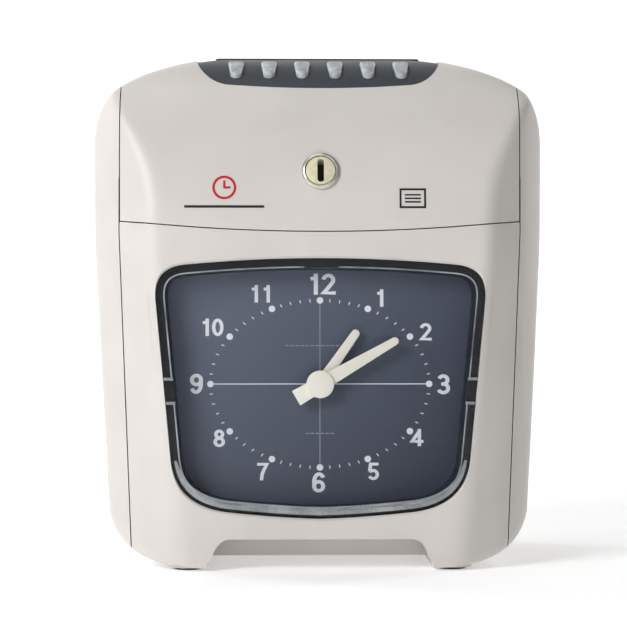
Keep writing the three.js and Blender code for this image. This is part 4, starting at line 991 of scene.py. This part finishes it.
def lock(bezel, cream, dark):
    ring = turned("lock_ring", [
        (7.05, 1.2), (7.4, 1.45), (8.1, 1.2), (8.55, 0.7), (8.6, 0.15), (7.5, 0.1), (7.5, -14),
        (7.05, -14),
    ], on_lock, 96)
    finished(smooth(ring), bezel, "lid", "steel", "lock_body")
    plug = turned("lock_plug_core", [
        (0, 1.45), (6.0, 1.4), (6.5, 1.25), (6.78, 0.8), (6.8, -14), (3, -14.01), (3, -21), (0, -21),
    ], on_lock, 96)
    subtract(plug, prism("keyway", rounded_rectangle(0, 0, 1.5, 5.4, 1.3), -9, 3, on_lock))
    finished(smooth(plug), cream, "lock", "lock_cream", "lock_plug")
    # painted shade: a dark piece at the bottom of the keyway, where the slot's depth lies in shade
    keyway_shade_piece = prism("keyway_shade_floor", rounded_rectangle(0, 0, 1.49, 5.39, 1.29), -9.2, -6, on_lock)
    finished(keyway_shade_piece, dark, "lock", "dark_plastic")


# ---- Printed signs on the lid ----


SIGN_LIFTS = (0.1, -0.3)  # front and back of the print, outwards from the lid
CLOCK_SIGN = (-43.5, 172.8)
CARD_SIGN = (41.5, 168)
CARD_SIGN_HALF = (6, 4.5)
SIGN_PEN = 0.9
LINE_LOW, LINE_HIGH = 163.6, 164.7


def lid_y(z, lift):
    """The lid's depth at one height, near the middle."""
    share = min(1, max(0, (z - SEAM_Z) / (HEIGHT - SEAM_Z)))
    return FRONT * math.sqrt(1 - share ** 2) - lift


def sign(name, outlines, ink):
    """Thin printed shapes whose corners lie on the lid's curve."""
    vertices, faces = [], []
    for outline in outlines:
        faces += slab_faces(len(vertices), len(outline))
        vertices += [(x, lid_y(z, lift), z) for lift in SIGN_LIFTS for x, z in outline]
    return finished(outward(mesh_object(name, vertices, faces)), ink, "lid", "casing")


def ring_parts(cx, cz, outer, inner, count=32):
    """A circle line as a row of small four-sided pieces."""
    parts = []
    for i in range(count):
        start, end = 360 * i / count, 360 * (i + 1) / count
        far = arc(cx, cz, outer, outer, start, end, 1)
        near = arc(cx, cz, inner, inner, start, end, 1)
        parts.append([*far, near[1], near[0]])
    return parts


def lid_signs(red, black):
    """A plain clock sign on the left and a plain card sign on the right."""
    x, z = CLOCK_SIGN
    long_hand, short_hand = bar(x - 0.5, x + 0.5, z - 0.5, z + 3.2), bar(x, x + 2.8, z - 0.5, z + 0.5)
    sign("clock_sign", [*ring_parts(x, z, 5.4, 4.3), long_hand, short_hand], red)
    sign("clock_sign_line", [bar(x - 18, x + 18, LINE_LOW, LINE_HIGH)], black)
    x, z = CARD_SIGN
    wide, high = CARD_SIGN_HALF
    inner_wide, inner_high = wide - SIGN_PEN, high - SIGN_PEN
    edges = [
        bar(x - wide, x + wide, z - high, z - inner_high),
        bar(x - wide, x + wide, z + inner_high, z + high),
        bar(x - wide, x - inner_wide, z - inner_high, z + inner_high),
        bar(x + inner_wide, x + wide, z - inner_high, z + inner_high),
    ]
    lines = [bar(x - 3.6, x + 3.6, z + dz, z + dz + 0.7) for dz in (-2, -0.4, 1.2)]
    sign("card_sign", edges + lines, black)


# ---- Materials ----


RELIEF_DEPTH = 0.02 * MM
DIAL_PAINTED_LIGHT_SLOPE = (-3.2, 0, 2.6)  # the way in which the painted light on the dial grows brighter towards its upper left, per metre
DIAL_PAINTED_SHADE_END, DIAL_PAINTED_LIGHT_END = -0.05, 0.5


def srgb(*levels):
    """A colour from screen levels between 0 and 255."""
    linear = [((c / 255 + 0.055) / 1.055) ** 2.4 if c > 10 else c / 255 / 12.92 for c in levels]
    return (*linear, 1)


def noise_at(tree, scale, detail=3.0, stretch=None):
    """Noise in the piece's own coordinates; scale counts grains per metre."""
    coordinates = tree.nodes.new("ShaderNodeTexCoord")
    noise = tree.nodes.new("ShaderNodeTexNoise")
    noise.inputs["Scale"].default_value = scale
    noise.inputs["Detail"].default_value = detail
    source = coordinates.outputs["Object"]
    if stretch:
        mapping = tree.nodes.new("ShaderNodeMapping")
        mapping.inputs["Scale"].default_value = stretch
        tree.links.new(source, mapping.inputs["Vector"])
        source = mapping.outputs["Vector"]
    tree.links.new(source, noise.inputs["Vector"])
    return noise.outputs["Fac"]


def ramp_of(tree, fac, low, high, from_fac=0.35, to_fac=0.65):
    ramp = tree.nodes.new("ShaderNodeValToRGB")
    ramp.color_ramp.elements[0].position = from_fac
    ramp.color_ramp.elements[0].color = low
    ramp.color_ramp.elements[1].position = to_fac
    ramp.color_ramp.elements[1].color = high
    tree.links.new(fac, ramp.inputs["Fac"])
    return ramp.outputs["Color"]


def surface(name, colour, darker, roughness, grain=2500, bump=0.05, patch=25, metallic=0.0,
            stretch=None, rough_range=0.08, **sockets):
    """A material whose colour, gloss and fine relief all vary over the surface."""
    material = bpy.data.materials.new(name)
    material.use_nodes = True
    tree = material.node_tree
    shader = tree.nodes["Principled BSDF"]
    patches = noise_at(tree, patch)
    fine = noise_at(tree, grain, 2.0, stretch)
    tree.links.new(ramp_of(tree, patches, srgb(*darker), srgb(*colour)), shader.inputs["Base Color"])
    gloss = tree.nodes.new("ShaderNodeMapRange")
    gloss.inputs["To Min"].default_value = roughness - rough_range / 2
    gloss.inputs["To Max"].default_value = roughness + rough_range / 2
    tree.links.new(fine, gloss.inputs["Value"])
    tree.links.new(gloss.outputs["Result"], shader.inputs["Roughness"])
    relief = tree.nodes.new("ShaderNodeBump")
    relief.inputs["Strength"].default_value = bump
    relief.inputs["Distance"].default_value = RELIEF_DEPTH
    tree.links.new(fine, relief.inputs["Height"])
    tree.links.new(relief.outputs["Normal"], shader.inputs["Normal"])
    shader.inputs["Metallic"].default_value = metallic
    for socket, value in sockets.items():
        shader.inputs[socket.replace("_", " ")].default_value = value
    return material


def casing_plastic():
    return surface("casing_plastic", (216, 211, 206), (210, 205, 200), 0.42, grain=3000, bump=0.12)


def dark_plastic():
    return surface("charcoal_plastic", (50, 57, 64), (44, 51, 57), 0.45, grain=3500, bump=0.15)


def clear_plastic():
    return surface("clear_plastic", (60, 66, 74), (56, 62, 70), 0.06, grain=30, bump=0.0,
                   patch=8, rough_range=0.02, Alpha=0.06, IOR=1.49)


# painted highlight: the pale grey of the window ridge and its clip catches stands in for light caught
# along the lens bevel
def ridge_highlight_plastic():
    return surface("ridge_painted_highlight", (190, 196, 202), (120, 128, 138), 0.2, grain=1500,
                   patch=70, Alpha=0.7)


# painted light: the silver-grey of the window sill stands in for light falling on the lit lower reveal
def painted_light_sill_plastic():
    return surface("sill_painted_light", (176, 180, 182), (140, 146, 150), 0.28, patch=60, metallic=0.35)


def dial_paint_and_painted_light():
    """Blue-grey paint with painted light: lighter towards the upper left corner, as if lit from there.
    """
    material = surface("dial_paint_and_painted_light", (80, 90, 110), (74, 84, 104), 0.55, grain=60, bump=0.0)
    tree = material.node_tree
    shader = tree.nodes["Principled BSDF"]
    coordinates = tree.nodes.new("ShaderNodeTexCoord")
    slope = tree.nodes.new("ShaderNodeVectorMath")
    slope.operation = "DOT_PRODUCT"
    slope.inputs[1].default_value = DIAL_PAINTED_LIGHT_SLOPE
    tree.links.new(coordinates.outputs["Object"], slope.inputs[0])
    level = tree.nodes.new("ShaderNodeMapRange")
    level.inputs["From Min"].default_value = DIAL_PAINTED_SHADE_END
    level.inputs["From Max"].default_value = DIAL_PAINTED_LIGHT_END
    tree.links.new(slope.outputs["Value"], level.inputs["Value"])
    # painted light: the blue-grey runs from a shaded tone to a lit tone across the dial
    painted_light_tone = ramp_of(tree, level.outputs["Result"], srgb(50, 58, 76), srgb(100, 108, 126), 0, 1)
    tree.links.new(painted_light_tone, shader.inputs["Base Color"])
    return material


def button_plastic():
    return surface("button_plastic", (196, 202, 203), (158, 166, 170), 0.3, grain=1800,
                   patch=260, Subsurface_Weight=0.15, Subsurface_Radius=(0.002, 0.002, 0.002))


def metal(name, colour, darker, roughness, stretch=(1, 1, 1)):
    return surface(name, colour, darker, roughness, grain=1200, bump=0.08, patch=120,
                   metallic=1.0, stretch=stretch, rough_range=0.14)


def make_materials():
    return {
        "casing": casing_plastic(),
        "dark_plastic": dark_plastic(),
        "clear_window": clear_plastic(),
        "dial_blue": dial_paint_and_painted_light(),
        "hand_paint": surface("hand_paint", (253, 250, 238), (247, 243, 230), 0.4,
                              grain=3000, bump=0.06),
        "button_grey": button_plastic(),
        "light_plastic": surface("white_ink", (244, 246, 252), (236, 239, 248), 0.45),
        "rubber": surface("rubber", (36, 36, 39), (28, 28, 31), 0.8, grain=1800, bump=0.3),
        "steel": metal("turned_steel", (190, 192, 194), (168, 170, 173), 0.3),
        "plated_steel": metal("zinc_plate", (196, 199, 196), (170, 176, 176), 0.38, (1, 1, 12)),
        "brass": metal("brass", (206, 170, 98), (184, 146, 78), 0.3),
        "lock_cream": surface("lock_cream", (224, 218, 192), (210, 203, 174), 0.3,
                              patch=400, bump=0.08),
        "copper_wire": metal("copper_wire", (186, 104, 66), (160, 82, 48), 0.35, (1, 1, 30)),
        "circuit_board": surface("circuit_board", (42, 104, 66), (28, 84, 52), 0.4,
                                 patch=300, bump=0.3),
        "laminated_iron": metal("laminated_iron", (104, 104, 108), (76, 76, 80), 0.5, (1, 60, 1)),
        "battery_wrap": surface("battery_wrap", (52, 104, 158), (42, 92, 146), 0.3, patch=200),
    }


def dress_frame(materials):
    """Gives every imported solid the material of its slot."""
    for part in frame["record"]["subparts"]:
        node = frame["nodes"][part["node"]]
        node.data.materials.clear()
        node.data.materials.append(materials[part["material_slot"]])


# ---- Floor, lights and camera ----


FLOOR_GLOW = 0.3
WORLD_LIGHT = 0.08
MIDDLE, BACKDROP = (0, 0, 0.12), (0, 3.4, 1.2)

# Each lamp: name, place, what it points at, its two sides in metres, and its power in watts.
LAMPS = (
    ("key_left", (-0.95, -1.0, 0.75), MIDDLE, (0.7, 0.7), 15),
    ("front_fill", (0, -2.2, 0.5), MIDDLE, (1.2, 0.8), 1),
    ("overhead", (-0.3, -0.1, 1.6), MIDDLE, (0.8, 0.8), 4),
    ("backdrop_left", (-2.4, 1.6, 2.4), BACKDROP, (1.5, 1.5), 45),
    ("backdrop_right", (2.4, 1.6, 2.4), BACKDROP, (1.5, 1.5), 45),
)

CAMERA_X, CAMERA_Z, CAMERA_DISTANCE = -0.029, 0.116, 1.0
CAMERA_TURN = -1.47
CAMERA_LENS = 127.6


def floor_and_backdrop():
    white = surface("studio_white", (250, 250, 250), (247, 247, 247), 0.9, grain=40,
                    bump=0.0, patch=2, Emission_Color=(1, 1, 1, 1), Emission_Strength=FLOOR_GLOW)
    curve = [(-2.5, 0), *arc(2.2, 1.2, 1.2, 1.2, -90, 0, 16), (3.4, 6)]
    vertices = [(x, y, z) for x in (-8, 8) for y, z in curve]
    count = len(curve)
    faces = [(i, i + 1, count + i + 1, count + i) for i in range(count - 1)]
    mesh = bpy.data.meshes.new("studio_floor")
    mesh.from_pydata(vertices, [], faces)
    floor = link("studio_floor", mesh)
    mesh.materials.append(white)
    smooth(floor)


def softbox(name, place, target, size, power):
    data = bpy.data.lights.new(name, "AREA")
    data.shape = "RECTANGLE"
    data.size, data.size_y = size
    data.energy = power
    lamp = link(name, data)
    lamp.location = place
    lamp.rotation_euler = (Vector(target) - Vector(place)).to_track_quat("-Z", "Y").to_euler()


def studio_light():
    world = bpy.data.worlds.new("studio")
    world.use_nodes = True
    world.node_tree.nodes["Background"].inputs["Color"].default_value = (1, 1, 1, 1)
    world.node_tree.nodes["Background"].inputs["Strength"].default_value = WORLD_LIGHT
    bpy.context.scene.world = world
    for lamp in LAMPS:
        softbox(*lamp)


def camera():
    data = bpy.data.cameras.new("camera")
    data.lens = CAMERA_LENS
    data.sensor_width = 36
    eye = link("camera", data)
    eye.location = (CAMERA_X, FRONT * MM - CAMERA_DISTANCE, CAMERA_Z)
    eye.rotation_euler = (math.radians(90), 0, math.radians(CAMERA_TURN))
    bpy.context.scene.camera = eye
    bpy.context.scene.view_settings.view_transform = "Standard"


FULL_STEP, QUICK_STEP = 2.2, 4.0  # spacing of the case skin's mesh


def build():
    materials = make_materials()
    dress_frame(materials)
    step = FULL_STEP
    skin, core = case_solid("skin", 0, step), case_solid("core", WALL, step)
    subtract(skin, underside_space(0))
    subtract(core, underside_space(WALL))
    plastic = materials["casing"]
    rear_case(skin, core, plastic)
    front_cover(skin, core, plastic)
    top_cover(skin, core, plastic)
    drop(skin)
    drop(core)
    window_pane(materials["clear_window"])
    # the ridge material's pale grey is a painted highlight along the lens edge
    ridge = ridge_highlight_plastic()
    window_edge(ridge)
    clip_ends(ridge)
    window_sill_painted_light(painted_light_sill_plastic())
    # painted shade: the near-black bezel, darker than its part's own dark plastic, stands in for the
    # shade at the window's edge
    dial_bezel(surface("bezel_painted_shade", (24, 27, 34), (18, 21, 27), 0.35))
    dial_plate(materials["dial_blue"])
    faint = surface("faint_ink", (150, 156, 172), (142, 148, 165), 0.5)
    dial_marks(materials["light_plastic"], faint)
    hands(materials["hand_paint"])
    button_panel(materials["dark_plastic"])
    buttons(materials["button_grey"])
    bezel = surface("lock_bezel", (206, 203, 188), (190, 187, 172), 0.25, patch=300, metallic=0.5)
    # painted shade for the deep end of the keyway
    keyway = surface("keyway_painted_shade", (30, 30, 30), (22, 22, 22), 0.6)
    lock(bezel, materials["lock_cream"], keyway)
    lid_signs(surface("sign_red", (200, 30, 38), (190, 26, 34), 0.4),
              surface("sign_black", (28, 28, 30), (22, 22, 24), 0.4))


build()
floor_and_backdrop()
studio_light()
camera()
